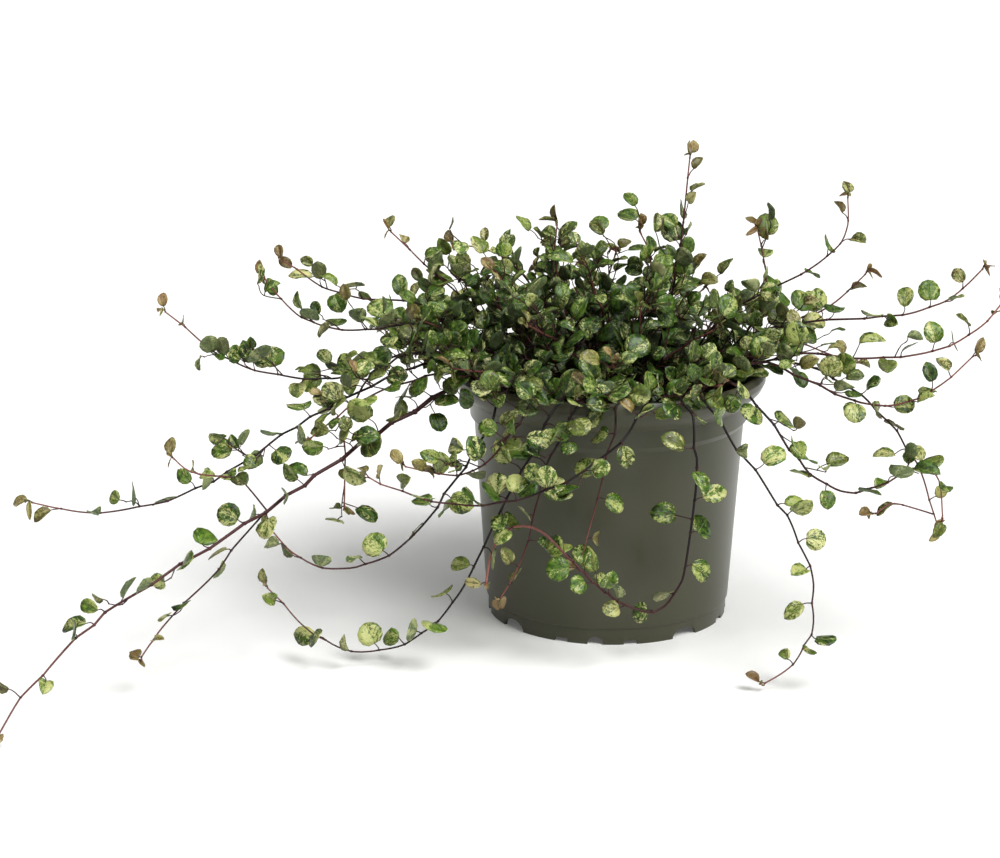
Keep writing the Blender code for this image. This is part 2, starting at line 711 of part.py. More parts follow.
def leaf_guard_points():
    """Points spread over a leaf's blade, used to keep it off its neighbours."""
    petiole, blade_start, tip = LEAF_ROWS[1][0], LEAF_ROWS[2][0], LEAF_ROWS[-1][0]
    guards = [(0.5 * petiole, 0, 0)]
    for place in np.linspace(blade_start, tip, 6):
        half_width = np.interp(place, *zip(*LEAF_ROWS))
        height = -LEAF_ARCH * (place - petiole) ** 2
        for share in np.linspace(-1, 1, 5):
            guards.append((place, share * half_width, height))
    return np.array(guards) * MM


def leaf_pose(base, along, side, size, lean):
    """The matrix that puts a leaf on a stem, to one side, with its face up and outward."""
    up = Vector((0, 0, 1))
    outward = Vector((base.x, base.y, 0)).normalized()
    across = along.cross(up)
    if across.length < 0.3:
        across = outward.cross(up) + 0.3 * outward
    across = Matrix.Rotation(lean, 3, along) @ across.normalized()
    point = (0.45 * along + side * across + 0.25 * up).normalized()
    face = LIGHT + 0.5 * outward
    face = (face - face.project(point)).normalized()
    turn = Matrix((point, face.cross(point), face)).transposed().to_4x4()
    return Matrix.Translation(base) @ turn @ Matrix.Diagonal((size, size, 1, 1))


def leaf_stops(line, first):
    """How far along a stem its leaves are, from the tip back, closer together in the crown."""
    stops = [line_lengths(line)[-1] - TIP_LEAF_BACK]
    while stops[-1] > first:
        offset = points_at(line, [stops[-1]])[0] - np.array(CROWN_CENTRE)
        depth = np.linalg.norm(offset / np.array(CROWN_REACH))
        stops.append(stops[-1] - (CROWN_LEAF_STEP if depth < CROWN_DEPTH else TRAIL_LEAF_STEP))
    return stops[:-1]


def stem_guard_points(lines):
    """Points close together along every stem, and the number of the stem that each is on."""
    points = []
    owners = []
    for number, line, _ in lines:
        length = line_lengths(line)[-1]
        stops = np.linspace(0, length, int(length / GUARD_STEP) + 2)
        points.append(points_at(line, stops))
        owners.append(np.full(len(stops), number))
    return np.vstack(points), np.concatenate(owners)


def clears(placed, others, clearance):
    """Whether a leaf's guard points keep that clearance to the other points near it."""
    near = others[np.linalg.norm(others - placed.mean(axis=0), axis=1) < NEIGHBOUR_REACH]
    return not len(near) or np.linalg.norm(placed[:, None] - near, axis=2).min() > clearance


def leaf_fits(placed, other_stems, other_leaves):
    """Whether a leaf clears the other stems, the leaves placed before it, the pot and the floor."""
    return (
        clears(placed, other_stems, LEAF_STEM_CLEARANCE)
        and clears(placed, other_leaves, LEAF_LEAF_CLEARANCE)
        and pot_distance(placed)[0].min() > LEAF_POT_CLEARANCE
        and placed[:, 2].min() > LEAF_FLOOR_CLEARANCE
    )


def leaf_poses(lines, guards):
    """The leaves of every stem. A leaf with no room tries its other side and other angles."""
    rng = np.random.default_rng(SEED + 2)
    stem_guards, stem_owner = stem_guard_points(lines)
    leaf_guards = np.empty((0, 3))
    poses = []
    for number, line, root_share in lines:
        other_stems = stem_guards[stem_owner != number]
        length = line_lengths(line)[-1]
        first = FIRST_FORK_LEAF if root_share else FIRST_LEAF
        for order, stop in enumerate(leaf_stops(line, first)):
            base, along = place_on_line(line, stop)
            young = max(0, 1 - (length - stop) / YOUNG_LENGTH)
            size = (1 - YOUNG_SHRINK * young) * rng.uniform(*LEAF_SIZES)
            for attempt in range(LEAF_TRIES):
                side = (-1) ** (order + attempt) if order + attempt else TIP_LEAF_SIDE
                lean = rng.uniform(-LEAF_LEAN, LEAF_LEAN) * (1 + LEAN_A_TRY * attempt)
                pose = leaf_pose(base, along, side, size * (1 - SHRINK_A_TRY * attempt), lean)
                placed = guards @ np.array(pose.to_3x3()).T + np.array(pose.translation)
                if leaf_fits(placed, other_stems, leaf_guards):
                    leaf_guards = np.vstack([leaf_guards, placed])
                    poses.append((number, pose))
                    break
    return poses


def fork_points(route, parent):
    """A fork's points, starting inside the stem that it leaves."""
    start = parent[np.linalg.norm(parent - np.array(route[0]), axis=1).argmin()]
    return smooth_points([Vector(start), *route[1:]], STEM_STEP)


def join_stem(name, lines, leaves, leaf, collection, material):
    """One leafy stem: its line, forks and leaves joined into one solid."""
    group = make_collection(f"{name}_growth")
    section = stem_section()
    stem = add_object(name, stem_mesh(*lines[0], section), collection, material)
    for line, root_share in lines[1:]:
        add_object(f"{name}_fork", stem_mesh(line, root_share, section), group)
    bpy.data.objects.remove(section)
    for pose in leaves:
        blade = add_object(f"{name}_leaf", leaf.copy(), group)
        blade.data.transform(pose)
    union = stem.modifiers.new("Join", "BOOLEAN")
    union.operation = "UNION"
    union.operand_type = "COLLECTION"
    union.collection = group
    joined = evaluated_mesh(stem)
    stem.modifiers.clear()
    stem.data = joined
    joined.materials.clear()
    joined.materials.append(material)
    for piece in list(group.objects):
        bpy.data.objects.remove(piece)
    bpy.data.collections.remove(group)
    return stem


def build_stems(routes, roots, collection, material):
    """Every leafy stem, spread so that no stem or leaf crosses another's."""
    names = list(routes)
    mains = [stem_points(root, routes[name][0]) for name, root in zip(names, roots)]
    mains = spread_stems(mains)
    lines = [(number, simplify(main, STEM_TOLERANCE), 0) for number, main in enumerate(mains)]
    for number, name in enumerate(names):
        for route in routes[name][1:]:
            fork = simplify(fork_points(route, mains[number]), STEM_TOLERANCE)
            lines.append((number, fork, FORK_RADIUS_SHARE))
    poses = leaf_poses(lines, leaf_guard_points())
    leaf = leaf_mesh()
    for number, name in enumerate(names):
        own_lines = [(line, share) for owner, line, share in lines if owner == number]
        own_leaves = [pose for owner, pose in poses if owner == number]
        join_stem(name, own_lines, own_leaves, leaf, collection, material)


def build():
    """Model the potted plant."""
    clear_scene()
    plant = make_collection("potted_wire_vine")
    pot_cutters = make_collection("pot_cutters")
    soil_cutters = make_collection("soil_cutters")
    routes = all_routes()
    roots = root_places(routes)
    build_stems(routes, roots, plant, make_material("leaf_green", (0.075, 0.16, 0.035), 0.4))
    build_soil(roots, plant, soil_cutters, make_material("potting_soil", (0.035, 0.022, 0.014), 0.95))
    build_pot(plant, pot_cutters, make_material("pot_polypropylene", (0.085, 0.083, 0.066), 0.45))


build()
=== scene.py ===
"""Wire vine in a nursery pot: the looks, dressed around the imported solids.

Lengths are in metres, +Z is up and -Y is the front. The pot, the potting mix and every leafy stem
are finer pieces that take the place of their solids.
"""

import math

import bmesh
import bpy
import numpy as np
from mathutils import Matrix, Vector
from mathutils.kdtree import KDTree


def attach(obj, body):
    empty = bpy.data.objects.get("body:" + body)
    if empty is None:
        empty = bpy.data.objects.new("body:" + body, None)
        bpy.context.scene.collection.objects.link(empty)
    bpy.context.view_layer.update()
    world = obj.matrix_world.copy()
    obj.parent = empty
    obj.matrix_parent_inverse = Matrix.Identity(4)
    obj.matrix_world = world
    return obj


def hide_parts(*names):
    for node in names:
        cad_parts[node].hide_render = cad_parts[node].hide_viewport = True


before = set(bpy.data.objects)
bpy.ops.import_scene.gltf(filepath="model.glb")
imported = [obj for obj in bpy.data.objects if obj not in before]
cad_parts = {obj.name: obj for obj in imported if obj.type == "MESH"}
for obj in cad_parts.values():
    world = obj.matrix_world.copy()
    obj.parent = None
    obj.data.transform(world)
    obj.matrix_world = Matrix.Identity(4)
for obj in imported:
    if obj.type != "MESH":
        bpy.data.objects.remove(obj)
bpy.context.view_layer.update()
MM = 0.001


# Camera, studio light and floor
# The camera looks a little down on the pot from the front. A white room and two wide soft lights
# shine on it. The plant stands on a matt white sheet, lit a little from below to keep shadows pale.
CAMERA_PLACE = (-0.056, -1.327, 0.4635)
CAMERA_DIP = math.radians(15.5)
CAMERA_LENS = 96.12
CAMERA_SENSOR = 36
ROOM_LIGHT = 0.14
FLOOR_SIZE = 24
FLOOR_GLOW = 0.08


def select_only(*things):
    """Deselect everything, then select some things and make the first one active."""
    bpy.ops.object.select_all(action="DESELECT")
    for thing in things:
        thing.select_set(True)
    if things:
        bpy.context.view_layer.objects.active = things[0]


def linear_colour(code):
    """A colour for a shader from its sRGB hex code."""
    parts = [int(code[i:i + 2], 16) / 255 for i in (1, 3, 5)]
    return (*[p / 12.92 if p <= 0.04045 else ((p + 0.055) / 1.055) ** 2.4 for p in parts], 1)


def wire(node, inputs):
    """Set a node's inputs. Each is a value, a hex colour, an output, or a node for its first output."""
    for key, value in inputs.items():
        sockets = [s for s in node.inputs if s.enabled]
        socket = sockets[key] if isinstance(key, int) else next(s for s in sockets if s.name == key)
        if isinstance(value, str):
            value = linear_colour(value)
        if isinstance(value, bpy.types.Node):
            value = next(s for s in value.outputs if s.enabled)
        if isinstance(value, bpy.types.NodeSocket):
            node.id_data.links.new(value, socket)
        else:
            socket.default_value = value


def add_node(tree, kind, inputs=None, **settings):
    """Add a shader node to a tree with its settings and inputs."""
    node = tree.nodes.new("ShaderNode" + kind)
    for name, value in settings.items():
        setattr(node, name, value)
    wire(node, inputs or {})
    return node


def new_material(name, roughness, **sockets):
    """A Principled material with its plain sockets set, its node tree and its shader."""
    material = bpy.data.materials.new(name)
    material.use_nodes = True
    shader = material.node_tree.nodes["Principled BSDF"]
    shader.inputs["Roughness"].default_value = roughness
    for socket, value in sockets.items():
        shader.inputs[socket.replace("_", " ")].default_value = value
    return material, material.node_tree, shader


def soft_light(name, direction, spread, power):
    """A wide soft light that shines the same on the whole sheet, from a direction."""
    bpy.ops.object.light_add(type="SUN", location=direction)
    lamp = bpy.context.object
    lamp.name = name
    lamp.data.angle = spread
    lamp.data.energy = power
    lamp.rotation_euler = (-Vector(direction)).to_track_quat("-Z", "Y").to_euler()


select_only()
bpy.ops.object.camera_add(location=CAMERA_PLACE, rotation=(math.pi / 2 - CAMERA_DIP, 0, 0))
camera = bpy.context.object
camera.data.lens = CAMERA_LENS
camera.data.sensor_width = CAMERA_SENSOR
bpy.context.scene.camera = camera

world = bpy.data.worlds.new("white_room")
world.use_nodes = True
world.node_tree.nodes["Background"].inputs["Color"].default_value = (1, 1, 1, 1)
world.node_tree.nodes["Background"].inputs["Strength"].default_value = ROOM_LIGHT
bpy.context.scene.world = world
bpy.context.scene.view_settings.view_transform = "Standard"
soft_light("key_light", (0.8, -0.8, 1.4), math.radians(36), 3.5)
soft_light("top_light", (-0.1, -0.1, 1.6), math.radians(70), 0.9)

bpy.ops.mesh.primitive_plane_add(size=FLOOR_SIZE)
floor = bpy.context.object
floor.name = "floor"
floor_finish, _, floor_shader = new_material("matt_white_sheet", 0.9)
wire(floor_shader, {
    "Base Color": "#f4f4f2", "Emission Color": "#ffffff", "Emission Strength": FLOOR_GLOW})
floor.data.materials.append(floor_finish)


# Nursery pot
# A 160 mm pot moulded in dark olive-grey polypropylene, with a flared lip, a band under it, a small
# step and a tapered wall. Its foot skirt is cut into four lobes with notches for drainage.
LIP_RADIUS = 80 * MM
BAND_RADIUS = 71.4 * MM
BODY_TOP_RADIUS = 69.2 * MM
BODY_FOOT_RADIUS = 63.0 * MM
SKIRT_RADIUS = 62.0 * MM
POT_HEIGHT = 129.5 * MM
LIP_WIDEST_HEIGHT = 125 * MM
BAND_TOP_HEIGHT = 113.5 * MM
STEP_TOP_HEIGHT = 105 * MM
STEP_FOOT_HEIGHT = 102 * MM
SKIRT_HEIGHT = 8 * MM
WALL = 1.5 * MM
LIP_TOP_INSET = 1.4 * MM
LIP_TOP_WIDTH = 2 * MM
LIP_INNER_SLOPE = 2 * MM
LIP_EDGE = 2 * MM
LIP_UNDERCUT = 5 * MM
POT_STEPS = 128
POT_TURN = math.radians(-7.5)
POT_EDGE = 0.5 * MM
EASED_ANGLE = math.radians(24)
SMOOTH_ANGLE = math.radians(35)
PAD_RADIUS = 20 * MM
PAD_SLOPE = 3 * MM
PLATE_HEIGHT = 4 * MM
DRAIN_RADIUS = 4 * MM
DRAIN_RING = 42 * MM
DRAIN_COUNT = 8
DRAIN_SIDES = 24
LOBES = 4
LOBE_GAP_ANGLE = math.radians(14)
LOBE_GAP_HEIGHT = 5 * MM
NOTCH_ANGLE = math.radians(16.5)
ARCH_RADIUS = 4 * MM
ARCH_SIDES = 16
NOTCH_WIDTH = 7 * MM
NOTCH_HEIGHT = 2 * MM
NOTCH_SIDES = 4
SKIRT_CUT_DEPTH = 12 * MM
POT_GRAIN = 0.7 * MM
POT_GRAIN_DEPTH = 0.1 * MM
POT_CLOUD = 60 * MM
POT_GLOSS = (0.28, 0.4)
PLASTIC_SHEEN = (0.86, 0.9, 1.0, 1)


def name_active(name, *materials):
    """Name the new object and its mesh, and give it its materials."""
    thing = bpy.context.object
    thing.name = name
    thing.data.name = name
    for material in materials:
        thing.data.materials.append(material)
    return thing


def turned(name, profile, steps, *materials):
    """Draw a half section point by point from one point, and spin it round the pot's axis."""
    select_only()
    bpy.ops.mesh.primitive_plane_add(size=MM, location=(profile[0][0], 0, profile[0][1]))
    bpy.ops.object.transform_apply(location=True)
    bpy.ops.object.mode_set(mode="EDIT")
    bpy.ops.mesh.select_mode(type="VERT")
    bpy.ops.mesh.select_all(action="SELECT")
    bpy.ops.mesh.merge(type="CENTER")
    for (radius, height), (next_radius, next_height) in zip(profile, profile[1:]):
        step = (next_radius - radius, 0, next_height - height)
        bpy.ops.mesh.extrude_vertices_move(TRANSFORM_OT_translate={"value": step})
    bpy.ops.mesh.select_all(action="SELECT")
    bpy.ops.mesh.spin(steps=steps, angle=2 * math.pi, center=(0, 0, 0), axis=(0, 0, 1))
    bpy.ops.mesh.select_all(action="SELECT")
    bpy.ops.mesh.remove_doubles(threshold=0.01 * MM)
    bpy.ops.mesh.normals_make_consistent(inside=False)
    bpy.ops.object.mode_set(mode="OBJECT")
    return name_active(name, *materials)


def finish_with(thing, kind, **settings):
    """Give a thing a modifier of a kind, with its settings, and apply it."""
    bpy.context.view_layer.objects.active = thing
    modifier = thing.modifiers.new(kind.title(), kind)
    for setting, value in settings.items():
        setattr(modifier, setting, value)
    bpy.ops.object.modifier_apply(modifier=modifier.name)


def lip_profile():
    """The rolled lip, from the wall's inner side over its top to the band below it."""
    top_radius = LIP_RADIUS - LIP_TOP_INSET
    inner_radius = top_radius - LIP_TOP_WIDTH
    return [
        (BAND_RADIUS - WALL, BAND_TOP_HEIGHT + 2 * WALL),
        (inner_radius - LIP_INNER_SLOPE, POT_HEIGHT - 2 * WALL),
        (inner_radius, POT_HEIGHT),
        (top_radius, POT_HEIGHT),
        (LIP_RADIUS, LIP_WIDEST_HEIGHT + LIP_EDGE),
        (LIP_RADIUS, LIP_WIDEST_HEIGHT - LIP_EDGE / 2),
        (LIP_RADIUS - LIP_EDGE, LIP_WIDEST_HEIGHT - LIP_UNDERCUT),
        (BAND_RADIUS + LIP_EDGE, BAND_TOP_HEIGHT + LIP_EDGE),
        (BAND_RADIUS, BAND_TOP_HEIGHT),
    ]


def pot_profile():
    """Half of the pot's section: floor, inner wall, lip, outer wall, skirt and underside."""
    plate_top = PLATE_HEIGHT + WALL
    return [
        (0, WALL),
        (PAD_RADIUS, WALL),
        (PAD_RADIUS + PAD_SLOPE, plate_top),
        (BODY_FOOT_RADIUS - WALL, plate_top),
        (BODY_TOP_RADIUS - WALL, STEP_FOOT_HEIGHT),
        (BAND_RADIUS - WALL, STEP_TOP_HEIGHT),
        *lip_profile(),
        (BAND_RADIUS, STEP_TOP_HEIGHT),
        (BODY_TOP_RADIUS, STEP_FOOT_HEIGHT),
        (BODY_FOOT_RADIUS, SKIRT_HEIGHT + BODY_FOOT_RADIUS - SKIRT_RADIUS),
        (SKIRT_RADIUS, SKIRT_HEIGHT),
        (SKIRT_RADIUS, 0),
        (SKIRT_RADIUS - WALL, 0),
        (SKIRT_RADIUS - WALL, PLATE_HEIGHT),
        (PAD_RADIUS + PAD_SLOPE, PLATE_HEIGHT),
        (PAD_RADIUS, 0),
        (0, 0),
    ]


def cut_with(thing, cutter):
    """Cut one object out of another and delete the cutter."""
    finish_with(thing, "BOOLEAN", operation="DIFFERENCE", object=cutter)
    bpy.data.objects.remove(cutter)


def cut_skirt(pot, angle, half_width, height, sides):
    """Cut the skirt's lower edge with a bar that lies on the floor, at an angle from the front."""
    select_only()
    bpy.ops.mesh.primitive_cylinder_add(
        vertices=sides, radius=1 / math.cos(math.pi / sides), depth=SKIRT_CUT_DEPTH)
    bar = bpy.context.object
    flat_down = Matrix.Rotation(math.pi / 2, 4, "X") @ Matrix.Rotation(math.pi / sides, 4, "Z")
    shape = Matrix.Diagonal((half_width, 1, height, 1))
    place = Matrix.Rotation(angle, 4, "Z") @ Matrix.Translation((0, -SKIRT_RADIUS, 0))
    bar.data.transform(place @ shape @ flat_down)
    cut_with(pot, bar)


def moulded_polypropylene():
    """Moulded polypropylene, a dull waxy plastic: faint flow clouds, a fine grain and a low sheen."""
    material, tree, shader = new_material(
        "moulded_polypropylene", 0.34, IOR=1.49, Specular_IOR_Level=0.3, Specular_Tint=PLASTIC_SHEEN)
    place = add_node(tree, "TexCoord")
    cloud = add_node(tree, "TexNoise", {
        "Vector": place.outputs["Object"], "Scale": 1 / POT_CLOUD, "Detail": 3.0})
    colour = add_node(tree, "Mix", {
        "Factor": cloud, "A": "#424230", "B": "#4b4b39"}, data_type="RGBA")
    gloss = add_node(tree, "MapRange", {"Value": cloud, "To Min": POT_GLOSS[0], "To Max": POT_GLOSS[1]})
    grain = add_node(tree, "TexNoise", {
        "Vector": place.outputs["Object"], "Scale": 1 / POT_GRAIN, "Detail": 2.0})
    bump = add_node(tree, "Bump", {
        "Height": grain, "Strength": 0.12, "Distance": POT_GRAIN_DEPTH})
    wire(shader, {"Base Color": colour, "Roughness": gloss, "Normal": bump})
    return material


pot = turned("nursery_pot", pot_profile(), POT_STEPS, moulded_polypropylene())
for lobe in range(LOBES):
    middle = POT_TURN + lobe * 2 * math.pi / LOBES
    half_gap = SKIRT_RADIUS * math.sin(LOBE_GAP_ANGLE / 2)
    cut_skirt(pot, middle + math.pi / LOBES, half_gap, LOBE_GAP_HEIGHT, ARCH_SIDES)
    cut_skirt(pot, middle, ARCH_RADIUS, ARCH_RADIUS, ARCH_SIDES)
    for side in (-1, 1):
        cut_skirt(pot, middle + side * NOTCH_ANGLE, NOTCH_WIDTH / 2, NOTCH_HEIGHT, NOTCH_SIDES)
for hole in range(DRAIN_COUNT):
    angle = POT_TURN + (hole + 0.5) * 2 * math.pi / DRAIN_COUNT
    select_only()
    bpy.ops.mesh.primitive_cylinder_add(
        vertices=DRAIN_SIDES, radius=DRAIN_RADIUS, depth=3 * WALL,
        location=(DRAIN_RING * math.sin(angle), DRAIN_RING * math.cos(angle), PLATE_HEIGHT + WALL / 2))
    cut_with(pot, bpy.context.object)
finish_with(pot, "BEVEL", width=POT_EDGE, segments=2, limit_method="ANGLE", angle_limit=EASED_ANGLE)
select_only(pot)
bpy.ops.object.shade_smooth_by_angle(angle=SMOOTH_ANGLE)
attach(pot, "root")
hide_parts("pot")


# Potting mix
# Peat and bark that fill the pot to a finger's width under the rim, lumpy on top, with loose crumbs
# of bark and a few white grains of perlite. The roots hold it together, and it stands on the plate.
GAP = 0.3 * MM
SOIL_HEIGHT = 112 * MM
SOIL_STEPS = 72
SOIL_RING = 3 * MM
SOIL_LUMP = 7 * MM
SOIL_RISE = 2.4 * MM
PEAT_FIBRE = 2.5 * MM
PEAT_DEPTH = 0.8 * MM
PERLITE_PIT = 0.8 * MM
PERLITE_PIT_DEPTH = 0.3 * MM
CRUMB_MARGIN = 3 * MM
SOIL_SEED = 5

# How many crumbs there are of each kind, and the range of their half widths in millimetres
BARK_CRUMBS = 320
BARK_SIZES = (0.5, 2.4)
PERLITE_GRAINS = 45
PERLITE_SIZES = (0.8, 1.3)


def peat_mix():
    """Damp peat and composted bark: near black, very rough, with paler fibres here and there."""
    material, tree, shader = new_material("peat_mix", 0.95, Specular_IOR_Level=0.2)
    place = add_node(tree, "TexCoord")
    fibre = add_node(tree, "TexNoise", {
        "Vector": place.outputs["Object"], "Scale": 1 / PEAT_FIBRE, "Detail": 5.0, "Roughness": 0.7})
    colour = add_node(tree, "ValToRGB", {"Fac": fibre})
    colour.color_ramp.elements[0].position = 0.35
    colour.color_ramp.elements[0].color = linear_colour("#1a120c")
    colour.color_ramp.elements[1].position = 0.75
    colour.color_ramp.elements[1].color = linear_colour("#4a3424")
    bump = add_node(tree, "Bump", {"Height": fibre, "Strength": 0.9, "Distance": PEAT_DEPTH})
    wire(shader, {"Base Color": colour, "Normal": bump})
    return material


def perlite():
    """Expanded perlite: chalky off-white grains with a pitted skin."""
    material, tree, shader = new_material("perlite", 0.9)
    place = add_node(tree, "TexCoord")
    pits = add_node(tree, "TexNoise", {
        "Vector": place.outputs["Object"], "Scale": 1 / PERLITE_PIT, "Detail": 2.0})
    colour = add_node(tree, "Mix", {
        "Factor": pits, "A": "#b8b2a4", "B": "#e4e0d6"}, data_type="RGBA")
    bump = add_node(tree, "Bump", {"Height": pits, "Strength": 0.5, "Distance": PERLITE_PIT_DEPTH})
    wire(shader, {"Base Color": colour, "Normal": bump})
    return material


def join_into(main, others):
    """Join other objects into the main one."""
    select_only(main, *others)
    bpy.ops.object.join()


def copy_to(thing, place):
    """A copy of a thing with a mesh of its own, put in its place by a matrix."""
    copy = thing.copy()
    copy.data = thing.data.copy()
    copy.data.transform(place)
    bpy.context.collection.objects.link(copy)
    return copy


soil_edge = BAND_RADIUS - WALL - 2 * GAP
soil_rings = [(soil_edge * share, SOIL_HEIGHT) for share in np.arange(0, 1, SOIL_RING / soil_edge)]
soil_profile = soil_rings + [
    (soil_edge, SOIL_HEIGHT),
    (soil_edge, STEP_TOP_HEIGHT + GAP),
    (BODY_TOP_RADIUS - WALL - 2 * GAP, STEP_FOOT_HEIGHT + GAP),
    (BODY_FOOT_RADIUS - WALL - 2 * GAP, PLATE_HEIGHT + WALL + GAP),
    (0, PLATE_HEIGHT + WALL + GAP),
]
soil = turned("potting_mix", soil_profile, SOIL_STEPS, peat_mix(), perlite())
lumps = bpy.data.textures.new("soil_lumps", "CLOUDS")
lumps.noise_scale = SOIL_LUMP
top = soil.vertex_groups.new(name="top")
top.add([v.index for v in soil.data.vertices
         if v.co.z > SOIL_HEIGHT - GAP and v.co.xy.length < soil_edge - SOIL_RING / 2], 1, "REPLACE")
finish_with(
    soil, "DISPLACE", texture=lumps, texture_coords="LOCAL", direction="Z", strength=SOIL_RISE,
    mid_level=0.5, vertex_group="top")
soil.vertex_groups.clear()
soil_rng = np.random.default_rng(SOIL_SEED)
select_only()
bpy.ops.mesh.primitive_ico_sphere_add(subdivisions=1, radius=1)
crumb = name_active("crumb", *soil.data.materials)
crumbs = []
for number in range(BARK_CRUMBS + PERLITE_GRAINS):
    white = number >= BARK_CRUMBS
    around = soil_rng.uniform(0, 2 * math.pi)
    outward = (soil_edge - CRUMB_MARGIN) * math.sqrt(soil_rng.uniform(0, 1))
    size = soil_rng.uniform(*(PERLITE_SIZES if white else BARK_SIZES), 3) * MM
    turn = Matrix.Rotation(soil_rng.uniform(0, math.pi), 4, Vector(soil_rng.normal(size=3)).normalized())
    place = (outward * math.cos(around), outward * math.sin(around), SOIL_HEIGHT + GAP)
    copy = copy_to(crumb, Matrix.Translation(place) @ turn @ Matrix.Diagonal((*size, 1)))
    copy.data.polygons.foreach_set("material_index", [int(white)] * len(copy.data.polygons))
    crumbs.append(copy)
bpy.data.objects.remove(crumb)
join_into(soil, crumbs)
soil.data.shade_smooth()
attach(soil, "root")
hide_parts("soil")


# Routes of the stems
# The wiry stems are the plant's own, rooted in the potting mix, and they keep the solids' routes.
# Each rises out of the mix, crosses the rim and trails or stands. Sprigs fill the crown.
HOLE_DEPTH = 10 * MM
ROOT_REACH = 62 * MM
ROOT_SPACING = 9 * MM
ROOT_UNDER_ROUTE = 0.75
ROOT_ROUNDS = 200
NECK_HEIGHT = 4 * MM
FIXED_STEM_POINTS = 3
RIM_CROSSING_RADIUS = 74 * MM
RIM_CROSSING_HEIGHT = 139 * MM
STEM_STEP = 4 * MM
CURVE_STEPS = 24
STEM_SPACING = 4.8 * MM
STEM_TOLERANCE = 0.85 * MM
POT_CLEARANCE = 2.2 * MM
FLOOR_CLEARANCE = 1.6 * MM
SPREAD_ROUNDS = 90
EASING_ROUNDS = 78
EASING = 0.25
SPRIG_COUNT = 21
SPRIG_TURN = 0.6
SPRIG_REACH = (0.88, 1.04)
SPRIG_KNEE = 6 * MM
SPRIG_KNEE_OUT = 0.45
CROWN_CENTRE = Vector((-12, 0, 128)) * MM
CROWN_REACH = Vector((98, 84, 66)) * MM
CROWN_DEPTH = 1.1
GOLDEN_ANGLE = math.pi * (3 - math.sqrt(5))
SEED = 11
BACK_VINE_COUNT = 8
BACK_VINE_SPAN = (math.radians(24), math.radians(156))
BACK_VINE_START = 86 * MM
BACK_VINE_CROSSING = (138, 148)
BACK_VINE_REACH = (118, 150)
BACK_VINE_LOW_END = (24, 84)
BACK_VINE_HIGH_END = (116, 132)
BACK_VINE_SWAY = (-12, 12)
BACK_VINE_CURL = 12 * MM
BEHIND_POT = 0.45

